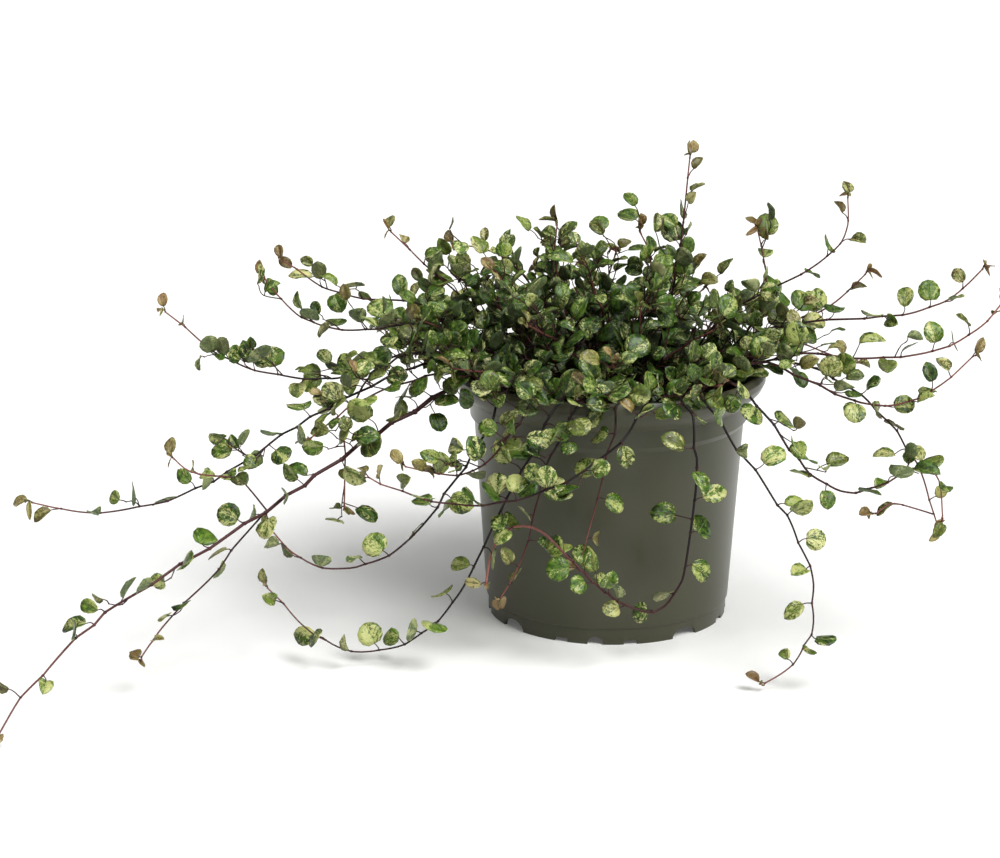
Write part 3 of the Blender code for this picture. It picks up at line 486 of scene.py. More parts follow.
# Routes of the stems that show, in millimetres. The first route of a stem is the stem itself, and the
# others are forks that leave it. Each stem comes up out of the soil and crosses the rim to its route.
STEMS = {
    "vine_left_runner": [
        [(-85, -35, 122), (-115, -60, 112), (-150, -95, 94), (-190, -125, 74), (-223, -145, 59),
         (-246, -160, 46), (-266, -176, 28), (-279, -184, 16), (-286, -190, 3)],
        [(-168, -110, 84), (-180, -118, 72), (-196, -125, 54), (-217, -133, 34), (-226, -138, 20)],
        [(-168, -110, 86), (-180, -116, 103), (-200, -125, 109), (-209, -128, 117)],
    ],
    "vine_left_low": [
        [(-80, -20, 140), (-100, -30, 137), (-134, -50, 124), (-164, -64, 111), (-181, -75, 98),
         (-212, -90, 85), (-237, -100, 82), (-264, -108, 82), (-280, -112, 91)],
    ],
    "vine_left_arch": [
        [(-87, 0, 146), (-119, -5, 130), (-138, -10, 122), (-169, -15, 128), (-193, -15, 132),
         (-215, -13, 152), (-226, -10, 161)],
    ],
    "vine_left_high": [
        [(-92, 10, 163), (-123, 14, 158), (-149, 16, 165), (-160, 18, 174), (-168, 18, 181)],
    ],
    "vine_left_fan": [
        [(-86, -10, 158), (-120, -15, 149), (-147, -20, 153), (-161, -20, 158), (-170, -20, 169),
         (-174, -20, 180)],
    ],
    "vine_left_short": [
        [(-78, -40, 138), (-113, -52, 131), (-135, -60, 123), (-149, -70, 109)],
    ],
    "vine_left_hanger": [
        [(-90, -25, 148), (-122, -45, 135), (-134, -57, 120), (-131, -64, 97), (-133, -66, 73)],
    ],
    "vine_right_high": [
        [(77, 5, 145), (103, -2, 154), (138, -8, 156), (161, -13, 160), (183, -14, 172),
         (187, -14, 184)],
    ],
    "vine_right_long": [
        [(70, -12, 141), (94, -20, 142), (122, -28, 139), (153, -34, 142), (176, -37, 150),
         (189, -38, 160), (193, -38, 171)],
    ],
    "vine_right_fall": [
        [(72, -26, 143), (102, -38, 138), (124, -46, 127), (148, -60, 101), (157, -65, 81),
         (161, -66, 62)],
        [(159, -66, 68), (149, -70, 74), (136, -74, 78), (127, -76, 73)],
    ],
    "vine_right_swing": [
        [(68, -36, 146), (86, -42, 140), (106, -54, 128), (136, -66, 122), (154, -70, 130),
         (163, -72, 142), (174, -73, 153)],
    ],
    "vine_right_hook": [
        [(54, -56, 142), (73, -70, 124), (86, -80, 104), (102, -86, 86), (117, -88, 82),
         (132, -88, 91), (146, -86, 107), (158, -84, 106), (161, -84, 90), (160, -84, 72)],
    ],
    "vine_front_right_fall": [
        [(42, -70, 136), (53, -88, 116), (78, -104, 88), (92, -113, 64), (97, -118, 44),
         (94, -122, 20), (84, -125, 7), (70, -127, 3)],
    ],
    "vine_front_drop": [
        [(34, -80, 136), (40, -93, 116), (38, -93, 81), (35, -91, 50), (31, -92, 28), (17, -94, 22),
         (-1, -98, 36), (-20, -99, 53), (-35, -98, 77), (-50, -96, 80), (-62, -93, 68),
         (-63, -92, 42)],
    ],
    "vine_front_mid": [
        [(3, -84, 134), (-3, -93, 114), (-8, -92, 89), (-13, -90, 66), (-17, -90, 52)],
    ],
    "vine_front_cross": [
        [(19, -80, 136), (6, -95, 117), (-18, -102, 100), (-39, -104, 90), (-77, -100, 83),
         (-101, -96, 89), (-121, -92, 97)],
    ],
    "vine_front_left_arc": [
        [(-42, -76, 130), (-56, -90, 106), (-70, -88, 94), (-91, -84, 94), (-103, -82, 100)],
    ],
    "vine_front_left_fall": [
        [(-56, -62, 128), (-66, -82, 108), (-84, -95, 85), (-104, -102, 61), (-132, -104, 51),
         (-155, -104, 56), (-167, -108, 77)],
    ],
    "vine_front_floor": [
        [(-28, -80, 134), (-38, -93, 111), (-52, -94, 90), (-64, -90, 61), (-80, -89, 26),
         (-99, -92, 11), (-117, -95, 5), (-139, -96, 9), (-156, -96, 24), (-170, -92, 42)],
    ],
    "vine_front_left_drop": [
        [(-14, -82, 134), (-30, -90, 113), (-40, -88, 84), (-40, -87, 62), (-50, -84, 40),
         (-56, -82, 31)],
    ],
    "shoot_left_upright": [
        [(-60, 8, 152), (-78, 4, 166), (-92, 2, 178), (-103, 0, 192), (-112, 0, 200)],
    ],
    "shoot_left_curl": [
        [(-30, 12, 150), (-37, 14, 167), (-52, 12, 186), (-66, 10, 194), (-79, 10, 190)],
    ],
    "shoot_bud": [
        [(-18, 4, 150), (-24, 5, 164), (-32, 5, 186), (-27, 5, 203)],
    ],
    "shoot_tall": [
        [(26, -8, 150), (32, -6, 168), (36, -5, 198), (37, -5, 217), (36, -5, 228), (39, -5, 239)],
    ],
    "shoot_mid": [
        [(14, 20, 148), (21, 18, 164), (26, 16, 181), (23, 15, 194), (15, 15, 197)],
    ],
    "shoot_right_upright": [
        [(60, 14, 134), (74, 12, 142), (83, 10, 160), (81, 10, 183), (75, 10, 199)],
    ],
    "shoot_right_curl": [
        [(48, -8, 152), (62, -10, 164), (84, -14, 174), (107, -16, 186), (120, -16, 196),
         (124, -16, 209), (117, -16, 221)],
    ],
    "shoot_right_sprig": [
        [(66, 22, 140), (83, 20, 146), (107, 20, 149), (121, 20, 156), (133, 20, 174)],
    ],
}


def sprig_routes():
    """Short stems whose tips are even over the crown's dome."""
    rng = np.random.default_rng(SEED)
    routes = {}
    for number in range(SPRIG_COUNT):
        height = (number + 0.5) / SPRIG_COUNT
        around = number * GOLDEN_ANGLE + SPRIG_TURN
        level = math.sqrt(1 - height ** 2)
        outward = Vector((level * math.cos(around), level * math.sin(around), height))
        tip = CROWN_CENTRE + outward * CROWN_REACH * rng.uniform(*SPRIG_REACH)
        knee = Vector((SPRIG_KNEE_OUT * tip.x, SPRIG_KNEE_OUT * tip.y, 0.5 * (SOIL_HEIGHT + tip.z)))
        knee += Vector(rng.uniform(-SPRIG_KNEE, SPRIG_KNEE, 3))
        routes[f"sprig_{number + 1:02d}"] = [[knee, tip]]
    return routes


def back_vine_routes():
    """Trailing stems on the back. Those behind the pot hang low, and those to its sides stay high."""
    rng = np.random.default_rng(SEED + 1)
    routes = {}
    rise = Vector((0, 0, 1))
    for number in range(BACK_VINE_COUNT):
        share = number / (BACK_VINE_COUNT - 1)
        around = BACK_VINE_SPAN[0] + share * (BACK_VINE_SPAN[1] - BACK_VINE_SPAN[0])
        outward = Vector((math.cos(around), math.sin(around), 0))
        aside = Vector((-outward.y, outward.x, 0))
        reach = rng.uniform(*BACK_VINE_REACH) * MM
        end_height = rng.uniform(*BACK_VINE_LOW_END) * MM
        if abs(outward.x) > BEHIND_POT:
            end_height = rng.uniform(*BACK_VINE_HIGH_END) * MM
        sway = rng.uniform(*BACK_VINE_SWAY) * MM
        crossing = rng.uniform(*BACK_VINE_CROSSING) * MM
        routes[f"vine_back_{number + 1}"] = [[
            outward * BACK_VINE_START + rise * crossing,
            outward * (0.4 * BACK_VINE_START + 0.6 * reach) + aside * 0.4 * sway
            + rise * (0.55 * crossing + 0.45 * end_height),
            outward * reach + aside * sway + rise * (0.2 * crossing + 0.8 * end_height),
            outward * (reach + BACK_VINE_CURL) + aside * 1.7 * sway + rise * end_height,
        ]]
    return routes


def all_routes():
    """The routes of every stem in metres, those that show first."""
    routes = {
        name: [[Vector(point) * MM for point in route] for route in stem]
        for name, stem in STEMS.items()
    }
    routes.update(sprig_routes())
    routes.update(back_vine_routes())
    return routes


def root_places(routes):
    """Where each stem comes out of the soil: toward its route, and a spacing from the others."""
    places = []
    for number, stem in enumerate(routes.values()):
        start = stem[0][0]
        reach = min(ROOT_UNDER_ROUTE * start.xy.length, ROOT_REACH - (number % 3) * ROOT_SPACING)
        aim = Vector((start.x, start.y)).normalized()
        places.append(np.array(aim * reach))
    places = np.array(places)
    for _ in range(ROOT_ROUNDS):
        apart = places[:, None] - places[None]
        distance = np.linalg.norm(apart, axis=2) + np.eye(len(places))
        short = np.clip(ROOT_SPACING - distance, 0, None) * (1 - np.eye(len(places)))
        places = places + 0.5 * (apart / distance[:, :, None] * short[:, :, None]).sum(axis=1)
        radius = np.linalg.norm(places, axis=1, keepdims=True)
        places = places * np.minimum(1, ROOT_REACH / radius)
    return [Vector((x, y)) for x, y in places]


def line_lengths(points):
    """The length of a line up to each of its points."""
    return np.concatenate([[0], np.cumsum(np.linalg.norm(np.diff(points, axis=0), axis=1))])


def points_at(line, stops):
    """The points of a line at those lengths along it."""
    along = line_lengths(line)
    return np.column_stack([np.interp(stops, along, line[:, axis]) for axis in range(3)])


def smooth_points(route, step):
    """Points one step apart on a smooth curve through a route's own points."""
    knots = np.array([tuple(point) for point in route])
    ends = np.vstack([2 * knots[0] - knots[1], knots, 2 * knots[-1] - knots[-2]])
    fine = []
    for before, start, end, after in zip(ends, ends[1:], ends[2:], ends[3:]):
        for t in np.linspace(0, 1, CURVE_STEPS, endpoint=False):
            fine.append(0.5 * (
                2 * start + (end - before) * t
                + (2 * before - 5 * start + 4 * end - after) * t ** 2
                + (3 * start - before - 3 * end + after) * t ** 3
            ))
    fine = np.array(fine + [knots[-1]])
    length = line_lengths(fine)[-1]
    return points_at(fine, np.linspace(0, length, max(3, round(length / step) + 1)))


def stem_points(root, route):
    """A stem's points, from its hole straight up out of the soil, over the rim and on its route."""
    foot = np.array((root.x, root.y, SOIL_HEIGHT - HOLE_DEPTH + GAP))
    neck = np.array((root.x, root.y, SOIL_HEIGHT + NECK_HEIGHT))
    start = Vector(route[0])
    passes = [Vector(neck), *route]
    flat = Vector((start.x, start.y)).length
    if flat > RIM_CROSSING_RADIUS and start.z < RIM_CROSSING_HEIGHT:
        scale = RIM_CROSSING_RADIUS / flat
        passes.insert(1, Vector((start.x * scale, start.y * scale, RIM_CROSSING_HEIGHT)))
    return np.vstack([foot, smooth_points(passes, STEM_STEP)])


def pot_outline():
    """The section of the pot and its soil as one filled outline of radius and height."""
    return np.array([
        (0, SOIL_HEIGHT),
        (BAND_RADIUS - WALL, SOIL_HEIGHT),
        *lip_profile(),
        (BAND_RADIUS, STEP_TOP_HEIGHT),
        (BODY_TOP_RADIUS, STEP_FOOT_HEIGHT),
        (BODY_FOOT_RADIUS, SKIRT_HEIGHT),
        (BODY_FOOT_RADIUS, 0),
        (0, 0),
    ])


def pot_distance(points):
    """How far each point is from the pot and its soil, negative inside, and the way out."""
    outline = pot_outline()
    start, end = outline, np.roll(outline, -1, axis=0)
    radius = np.hypot(points[:, 0], points[:, 1])
    place = np.column_stack([radius, points[:, 2]])
    run = end - start
    share = ((place[:, None] - start) * run).sum(axis=2) / (run ** 2).sum(axis=1)
    nearest = start + np.clip(share, 0, 1)[:, :, None] * run
    away = place[:, None] - nearest
    distance = np.linalg.norm(away, axis=2)
    closest = distance.argmin(axis=1)
    rows = np.arange(len(points))
    crossing = (start[:, 1] > place[:, 1:]) != (end[:, 1] > place[:, 1:])
    height_run = np.where(run[:, 1] == 0, 1, run[:, 1])
    edge_radius = start[:, 0] + (place[:, 1:] - start[:, 1]) / height_run * run[:, 0]
    inside = (crossing & (place[:, :1] < edge_radius)).sum(axis=1) % 2 == 1
    sign = np.where(inside, -1, 1)
    way = away[rows, closest] / np.maximum(distance[rows, closest], 1e-9)[:, None] * sign[:, None]
    flat = points[:, :2] / np.maximum(radius, 1e-9)[:, None]
    outward = np.column_stack([flat * way[:, :1], way[:, 1]])
    return distance[rows, closest] * sign, outward


def push_apart(points, owner):
    """The push that each point gets from points of other stems that are too near."""
    tree = KDTree(len(points))
    for number, point in enumerate(points):
        tree.insert(point, number)
    tree.balance()
    push = np.zeros_like(points)
    for number, point in enumerate(points):
        for other, index, distance in tree.find_range(point, STEM_SPACING):
            if owner[index] != owner[number]:
                away = (point - np.array(other)) / max(distance, 1e-6)
                push[number] += 0.5 * away * (STEM_SPACING - distance)
    return push


def spread_stems(stems):
    """Push stems apart until they clear each other, the pot and the floor, and ease their kinks."""
    counts = [len(stem) for stem in stems]
    owner = np.repeat(np.arange(len(stems)), counts)
    place = np.concatenate([np.arange(count) for count in counts])
    last = place == np.repeat(counts, counts) - 1
    free = (place >= FIXED_STEM_POINTS)[:, None]
    middle = ((place > 0) & ~last)[:, None]
    points = np.vstack(stems)
    for turn in range(SPREAD_ROUNDS):
        push = push_apart(points, owner)
        if turn < EASING_ROUNDS:
            ease = np.zeros_like(points)
            ease[1:-1] = 0.5 * (points[:-2] + points[2:]) - points[1:-1]
            push += EASING * ease * middle
        points = points + push * free
        distance, outward = pot_distance(points)
        short = np.clip(POT_CLEARANCE - distance, 0, None)[:, None]
        points = points + outward * short * free
        low = free[:, 0] & (points[:, 2] < FLOOR_CLEARANCE)
        points[low, 2] = FLOOR_CLEARANCE
    return np.split(points, np.cumsum(counts)[:-1])


def simplify(points, tolerance):
    """Fewer points of a line that stays within a tolerance of all of them."""
    start, end = points[0], points[-1]
    run = (end - start) / max(np.linalg.norm(end - start), 1e-9)
    offset = points - start
    off_line = np.linalg.norm(offset - np.outer(offset @ run, run), axis=1)
    farthest = off_line.argmax()
    if len(points) < 3 or off_line[farthest] < tolerance:
        return np.array([start, end])
    left = simplify(points[:farthest + 1], tolerance)
    right = simplify(points[farthest:], tolerance)
    return np.vstack([left[:-1], right])


def place_on_line(line, stop):
    """The point at a length along a line, and the line's direction there."""
    segment = min(np.searchsorted(line_lengths(line), stop) - 1, len(line) - 2)
    direction = Vector(line[segment + 1] - line[segment]).normalized()
    return Vector(points_at(line, [stop])[0]), direction


def fork_points(route, parent):
    """A fork's points, starting inside the stem that it leaves."""
    start = parent[np.linalg.norm(parent - np.array(route[0]), axis=1).argmin()]
    return smooth_points([Vector(start), *route[1:]], STEM_STEP)


# Leaves
# Small round leaves, 8 to 13 mm across, a little cupped and folded along the midrib. They are waxy
# above and duller beneath, mottled with cream over two greens, and the youngest are copper. Six
# blades are modelled and copied, and each hangs from a thin stalk that is part of its stem.
LEAF_LENGTH = 10.4 * MM
LEAF_CORNERS = 12
LEAF_INSET = 2.2 * MM
BLADE_THICKNESS = 0.25 * MM
RIB_WIDTH = 0.02
PUCKER = 0.25 * MM
UNDERSIDE_PUCKER = 0.2 * MM
BARK_FLECK = 1.5 * MM
BARK_FLECK_DEPTH = 0.2 * MM
LEAF_SHAPES = [
    {"width": 10.6, "fold": 0.5, "droop": 0.9, "cup": 0.4, "notch": 0.5, "tip": 0.1, "twist": 0},
    {"width": 9.4, "fold": 0.9, "droop": 1.6, "cup": 0.8, "notch": 0.3, "tip": 0.3, "twist": 9},
    {"width": 8.0, "fold": 1.0, "droop": 1.9, "cup": 0.9, "notch": 0.2, "tip": 0.5, "twist": -12},
    {"width": 10.9, "fold": 0.3, "droop": -0.6, "cup": -0.6, "notch": 0.8, "tip": 0.0, "twist": 6},
    {"width": 7.2, "fold": 1.6, "droop": 1.2, "cup": 1.3, "notch": 0.1, "tip": 0.4, "twist": -6},
    {"width": 9.8, "fold": 0.4, "droop": 2.6, "cup": 0.3, "notch": 0.5, "tip": 0.2, "twist": 14},
]


def select_points(test):
    """In edit mode, select the points of the active mesh whose place passes a test."""
    shape = bmesh.from_edit_mesh(bpy.context.object.data)
    for point in shape.verts:
        point.select_set(bool(test(point.co)))
    shape.select_flush_mode()
    bmesh.update_edit_mesh(bpy.context.object.data)


def shift_points(test, offset, reach=0.0):
    """Move the points that pass a test, and those within a reach of them by less and less."""
    bpy.ops.mesh.select_all(action="DESELECT")
    select_points(test)
    bpy.ops.transform.translate(
        value=offset, use_proportional_edit=reach > 0, proportional_edit_falloff="SMOOTH",
        proportional_size=max(reach, 0.1 * MM))


def model_leaf(name, width, fold, droop, cup, notch, tip, twist, *materials):
    """One round blade along +X with its face up: notched at its base, folded, cupped and drooping."""
    half_length = LEAF_LENGTH / 2
    half_width = width / 2 * MM
    select_only()
    bpy.ops.mesh.primitive_circle_add(vertices=LEAF_CORNERS, radius=1, fill_type="NGON")
    leaf = bpy.context.object
    leaf.scale = (half_length, half_width, 1)
    bpy.ops.object.transform_apply()
    bpy.ops.object.mode_set(mode="EDIT")
    bpy.ops.mesh.select_mode(type="VERT")
    bpy.ops.mesh.select_all(action="SELECT")
    bpy.ops.mesh.inset(thickness=LEAF_INSET)
    bpy.ops.mesh.poke()
    bpy.ops.object.mode_set(mode="OBJECT")
    plan = leaf.data.uv_layers.active
    plan.name = "leaf_plan"
    for loop in leaf.data.loops:
        point = leaf.data.vertices[loop.vertex_index].co
        plan.data[loop.index].uv = (0.5 + point.x / LEAF_LENGTH, 0.5 + point.y / LEAF_LENGTH)
    bpy.ops.object.mode_set(mode="EDIT")
    near = 0.3 * MM
    shift_points(lambda p: p.x < -half_length + near, (notch * MM, 0, 0))
    shift_points(lambda p: p.x > half_length - near, (tip * MM, 0, 0))
    shift_points(lambda p: abs(p.y) < near, (0, 0, -fold / 2 * MM), 0.5 * half_width)
    shift_points(lambda p: abs(p.y) > 0.8 * half_width, (0, 0, cup * MM), 0.9 * half_width)
    shift_points(lambda p: p.x > 0.8 * half_length, (0, 0, -droop * MM), 1.3 * half_length)
    bpy.ops.mesh.select_all(action="DESELECT")
    select_points(lambda p: p.x > 0.5 * half_length)
    bpy.ops.transform.rotate(
        value=-math.radians(twist), orient_axis="X", center_override=(half_length / 2, 0, 0))
    bpy.ops.mesh.select_all(action="SELECT")
    bpy.ops.transform.translate(value=(half_length - notch * MM, 0, fold / 2 * MM))
    bpy.ops.object.mode_set(mode="OBJECT")
    leaf = name_active(name, *materials)
    leaf.data.polygons.foreach_set("material_index", [1] * len(leaf.data.polygons))
    finish_with(leaf, "SOLIDIFY", thickness=BLADE_THICKNESS, offset=0, material_offset=1)
    leaf.data.shade_smooth()
    leaf.data.attributes.new("growth", "FLOAT_COLOR", "POINT")
    return leaf


def leaf_skin(name, greens, bright, creams, roughness, pucker):
    """A waxy leaf skin, mottled with cream in streaks and sectors that run out from the stalk.

    The mesh attribute growth gives each leaf its share of cream, its youth, a number of its own and
    how bright its green is, which is partly random and partly painted shade, lower deep in the crown.
    The mottles are about 1 mm, as on the leaf."""
    material, tree, shader = new_material(
        name, roughness, IOR=1.45, Specular_IOR_Level=0.48, Subsurface_Weight=0.1,
        Subsurface_Scale=MM)
    plan = add_node(tree, "UVMap", uv_map="leaf_plan")
    growth = add_node(tree, "Attribute", attribute_name="growth")
    own = add_node(tree, "SeparateColor", {"Color": growth})
    spot = add_node(tree, "SeparateXYZ", {"Vector": plan})
    out = add_node(tree, "Math", {0: spot.outputs["X"], 1: 0.12}, operation="ADD")
    across = add_node(tree, "Math", {0: spot.outputs["Y"], 1: 0.5}, operation="SUBTRACT")
    angle = add_node(tree, "Math", {0: across, 1: out}, operation="ARCTAN2")
    number = add_node(tree, "Math", {0: own.outputs["Blue"], 1: 90.0}, operation="MULTIPLY")

    sector_place = add_node(tree, "CombineXYZ", {"X": angle, "Z": number})
    sectors = add_node(tree, "TexNoise", {
        "Vector": sector_place, "Scale": 2.4, "Detail": 0.0})
    sector = add_node(tree, "MapRange", {
        "Value": sectors, "From Min": 0.36, "From Max": 0.64, "To Min": -0.09, "To Max": 0.09})
    fan_place = add_node(tree, "CombineXYZ", {"X": angle, "Y": out, "Z": number})
    mottles = add_node(tree, "TexNoise", {
        "Vector": fan_place, "Scale": 8.0, "Detail": 3.0, "Roughness": 0.7, "Distortion": 0.7})
    amount = add_node(tree, "MapRange", {
        "Value": own.outputs["Red"], "To Min": -0.18, "To Max": 0.13})
    level = add_node(tree, "Math", {0: mottles, 1: sector}, operation="ADD")
    level = add_node(tree, "Math", {0: level, 1: amount}, operation="ADD")
    splash = add_node(tree, "MapRange", {
        "Value": level, "From Min": 0.45, "From Max": 0.57})

    patches = add_node(tree, "TexNoise", {
        "Vector": fan_place, "Scale": 4.6, "Detail": 3.0, "Roughness": 0.6, "Distortion": 0.5})
    patch = add_node(tree, "MapRange", {
        "Value": patches, "From Min": 0.42, "From Max": 0.6})
    # tone is how bright the green is: a random tone, and painted shade that darkens leaves deep in the
    # crown
    tone = add_node(tree, "MapRange", {"Value": growth.outputs["Alpha"], "To Max": 0.8})
    dark_green = add_node(tree, "Mix", {
        "Factor": tone, "A": greens[0], "B": greens[1]}, data_type="RGBA")
    middle_green = add_node(tree, "Mix", {
        "Factor": tone, "A": greens[1], "B": bright}, data_type="RGBA")
    green = add_node(tree, "Mix", {
        "Factor": patch, "A": dark_green, "B": middle_green}, data_type="RGBA")
    cream = add_node(tree, "Mix", {
        "Factor": own.outputs["Blue"], "A": creams[0], "B": creams[1]}, data_type="RGBA")
    skin = add_node(tree, "Mix", {"Factor": splash, "A": green, "B": cream}, data_type="RGBA")
    off_rib = add_node(tree, "Math", {0: across}, operation="ABSOLUTE")
    rib = add_node(tree, "MapRange", {
        "Value": off_rib, "From Max": RIB_WIDTH, "To Min": 0.45, "To Max": 0.0})
    ribbed = add_node(tree, "Mix", {
        "Factor": rib, "A": skin, "B": "#93a35e"}, data_type="RGBA")
    young = add_node(tree, "MapRange", {
        "Value": own.outputs["Green"], "From Min": 0.3, "To Max": 0.72})
    coppery = add_node(tree, "Mix", {
        "Factor": young, "A": ribbed, "B": "#8f6548"}, data_type="RGBA")

    groove = add_node(tree, "MapRange", {
        "Value": off_rib, "From Max": 2 * RIB_WIDTH, "To Min": -1.0, "To Max": 0.0})
    height = add_node(tree, "Math", {0: groove, 1: mottles}, operation="ADD")
    bump = add_node(tree, "Bump", {"Height": height, "Strength": 0.7, "Distance": pucker})
    wire(shader, {"Base Color": coppery, "Normal": bump})
    return material


def wiry_bark():
    """Stem skin: smooth and near black where old, red-brown to pink where young, paler at the joints."""
    material, tree, shader = new_material("wiry_bark", 0.5, Specular_IOR_Level=0.25)
    growth = add_node(tree, "Attribute", attribute_name="growth")
    own = add_node(tree, "SeparateColor", {"Color": growth})
    age = add_node(tree, "ValToRGB", {"Fac": own.outputs["Green"]})
    old, young = age.color_ramp.elements
    old.color = linear_colour("#1a1110")
    young.color = linear_colour("#a3685c")
    middle = age.color_ramp.elements.new(0.5)
    middle.color = linear_colour("#4a2626")
    joint = add_node(tree, "Math", {0: own.outputs["Red"], 1: 0.4}, operation="MULTIPLY")
    jointed = add_node(tree, "Mix", {
        "Factor": joint, "A": age, "B": "#4f2b25"}, data_type="RGBA")
    place = add_node(tree, "TexCoord")
    flecks = add_node(tree, "TexNoise", {
        "Vector": place.outputs["Object"], "Scale": 1 / BARK_FLECK, "Detail": 3.0})
    shade = add_node(tree, "MapRange", {"Value": flecks, "To Min": 0.6, "To Max": 1.3})
    flecked = add_node(tree, "Mix", {
        "Factor": 1.0, "A": jointed, "B": shade}, data_type="RGBA", blend_type="MULTIPLY")
    bump = add_node(tree, "Bump", {
        "Height": flecks, "Strength": 0.5, "Distance": BARK_FLECK_DEPTH})
    wire(shader, {"Base Color": flecked, "Normal": bump})
    return material


plant_finishes = (
    wiry_bark(),
    leaf_skin(
        "waxy_leaf_face", ("#152607", "#3d5f17"), "#70902c", ("#96a353", "#cfd08f"), 0.38, PUCKER),
    leaf_skin(
        "dull_leaf_underside", ("#435136", "#59693f"), "#6f8147", ("#8a9560", "#a7ae7b"), 0.65,
        UNDERSIDE_PUCKER),
)
leaf_shapes = [
    model_leaf(f"leaf_shape_{number}", *shape.values(), *plant_finishes)
    for number, shape in enumerate(LEAF_SHAPES)
]


# Leafy stems
# Each stem is one wiry shoot with all that grows on it. It bends a little at each joint, where a leaf
# sits on its stalk, on alternate sides. Thin side twigs fill the crown and its shoulders, and short
# spurs grow along the trailing vines.
LEAF_ROWS = [(-0.1, 0.35), (4.0, 0.45), (5.0, 4.3), (10.2, 5.4), (14.4, 2.2)]
LEAF_ARCH = 0.018
CROWN_LEAF_STEP = 21 * MM
TRAIL_LEAF_STEP = 33 * MM
FIRST_LEAF = 24 * MM
FIRST_FORK_LEAF = 19 * MM
TIP_LEAF_BACK = 1.4 * MM
TIP_LEAF_SIDE = 0.25
LEAF_SIZES = (0.92, 1.16)
YOUNG_LENGTH = 45 * MM
YOUNG_SHRINK = 0.4
LIGHT = Vector((0, -0.4, 1))
LEAF_FORWARD = 0.45
LEAF_LEAN = 0.5
UPRIGHT = 0.3
LEAF_TRIES = 14
SHRINK_A_TRY = 0.025
LEAN_A_TRY = 0.25
GUARD_STEP = 2 * MM
NEIGHBOUR_REACH = 18 * MM
LEAF_STEM_CLEARANCE = 3.0 * MM
LEAF_LEAF_CLEARANCE = 2.5 * MM
LEAF_POT_CLEARANCE = 1.2 * MM
LEAF_FLOOR_CLEARANCE = 0.6 * MM

# The leaves between those of the solids. A step or length that is a range is in millimetres, and a
# depth counts from the middle of the crown, whose dome is at one.
VINE_LEAF_STEP = (9, 16)
FRONT_LEAF_STEP = (9.5, 17)
FAR_LEAF_STEP = (13, 24)
FAR_DEPTH = 2.2
LEAF_ROOM = 0.6
VINE_LEAF_SIZES = (0.85, 1.35)
VINE_LEAF_LEAN = 1.2
LEAF_RISE = 0.6
BARE_END = 6 * MM
LOOP_LENGTH = 62 * MM
LOOP_CLUSTER = 44 * MM
LOOP_BARE_STEP = (30, 40)
LOOP_LEAF_STEP = (3.5, 6.0)
TIP_BUD_SIZES = (0.22, 0.4)
SOLID_LEAF_GROWTH = 1.12
SOLID_STALK = 4.0 * MM
STALK_LENGTHS = (3.5, 7.5)
STALK_BOW = 0.16
STALK_LIFT = Vector((0, 0, 0.8))
STALK_OVERLAP = 0.4 * MM
STALK_STEP = 1.6 * MM
BUD_STALK = 0.6 * MM
BUD_FORWARD = 0.8
SHOW_HEIGHTS = (60 * MM, 172 * MM)
LEAF_SHOWS = (2.0, 0.1)
SHOW_SPREAD = (0.5, 1.3)
FLAT_START = 95 * MM
FLAT_SHARE = 0.35
LEAF_LOWEST = 2.2 * MM
LOOSE_ROLL = math.radians(22)
LOOSE_PITCH = math.radians(20)
LOOSE_YAW = math.radians(26)
HANG_TRIES = 6
FOLDED_SHAPES = [2, 4]
FOLDED_YOUTH = 0.4

# The side twigs and spurs
TWIG_STEP = (4.5, 8.5)
TWIG_LENGTHS = (9, 26)
SPUR_LENGTHS = (5, 13)
SPUR_CHANCE = 0.12
BARE_TIP = 25 * MM
TWIG_DEPTH = 1.09
TWIG_OUTREACH = 0.16
SHOULDERS = (2.1, 1.45)
FRONT_SHOULDERS = (3.5, 1.1)
FRONT_SHOULDER_SIDE = -15 * MM
FRONT_FOOT = 97 * MM
TWIG_FOOT = 20 * MM
TWIG_WANDER = 0.8
TWIG_FORWARD = 0.3
TWIG_RISE = Vector((0, 0, 0.35))
TWIG_BEND = 0.12
TWIG_DETAIL = 2.5 * MM
TWIG_POT_CLEARANCE = 1.5 * MM
TWIG_LOWEST = 3 * MM
TWIG_TIP_BACK = 0.6 * MM
TWIG_BARE_FOOT = 3 * MM
TWIG_LEAF_STEP = 7 * MM
TWIG_LEAF_SIZES = (0.72, 1.3)
TWIG_LEAF_LEAN = 0.8
TWIG_TIP_SHARE = 0.8
YOUNG_TWIGS = 0.3
TWIG_YOUTHS = (0.3, 1)
LEAF_CENTRES_APART = 5.0 * MM

# The shoots' thickness, joints and redness, and the leaves' marks by their depth in the crown, with
# painted shade on the deep leaves
OLD_RADIUS = 0.78 * MM
YOUNG_RADIUS = 0.38 * MM
FORK_SHARE = 0.6
TAPER = 0.8
TWIG_RADIUS = 0.26 * MM
STALK_RADIUS = 0.24 * MM
THIN_SHOOT_FOOT = 1.35
STEM_DETAIL = 3 * MM
JOINT_SPACING = 0.9 * MM
JOINT_SWELL = 0.45
JOINT_KINK = 1.3 * MM
RED_LENGTH = 90 * MM
REDNESS = 0.8
THIN_SHOOT_REDNESS = 0.1
TWIG_REDNESS = 0.5
STALK_REDNESS = 0.4
CREAM_DEPTHS = (0.8, 1.35)
CREAM_SHARES = (0.42, 0.81)
# Painted shade: these tone depths and tones make the green of leaves deep in the crown darker
PAINTED_SHADE_DEPTHS = (0.6, 1.05)
CREAM_FOCUS = 1.5
PAINTED_SHADE_TONES = (0.1, 1)
TONE_FALL = 1.4
YOUTH_SPREAD = (0.45, 1)
FLUSH = 0.45
LOOKS_SEED = 5

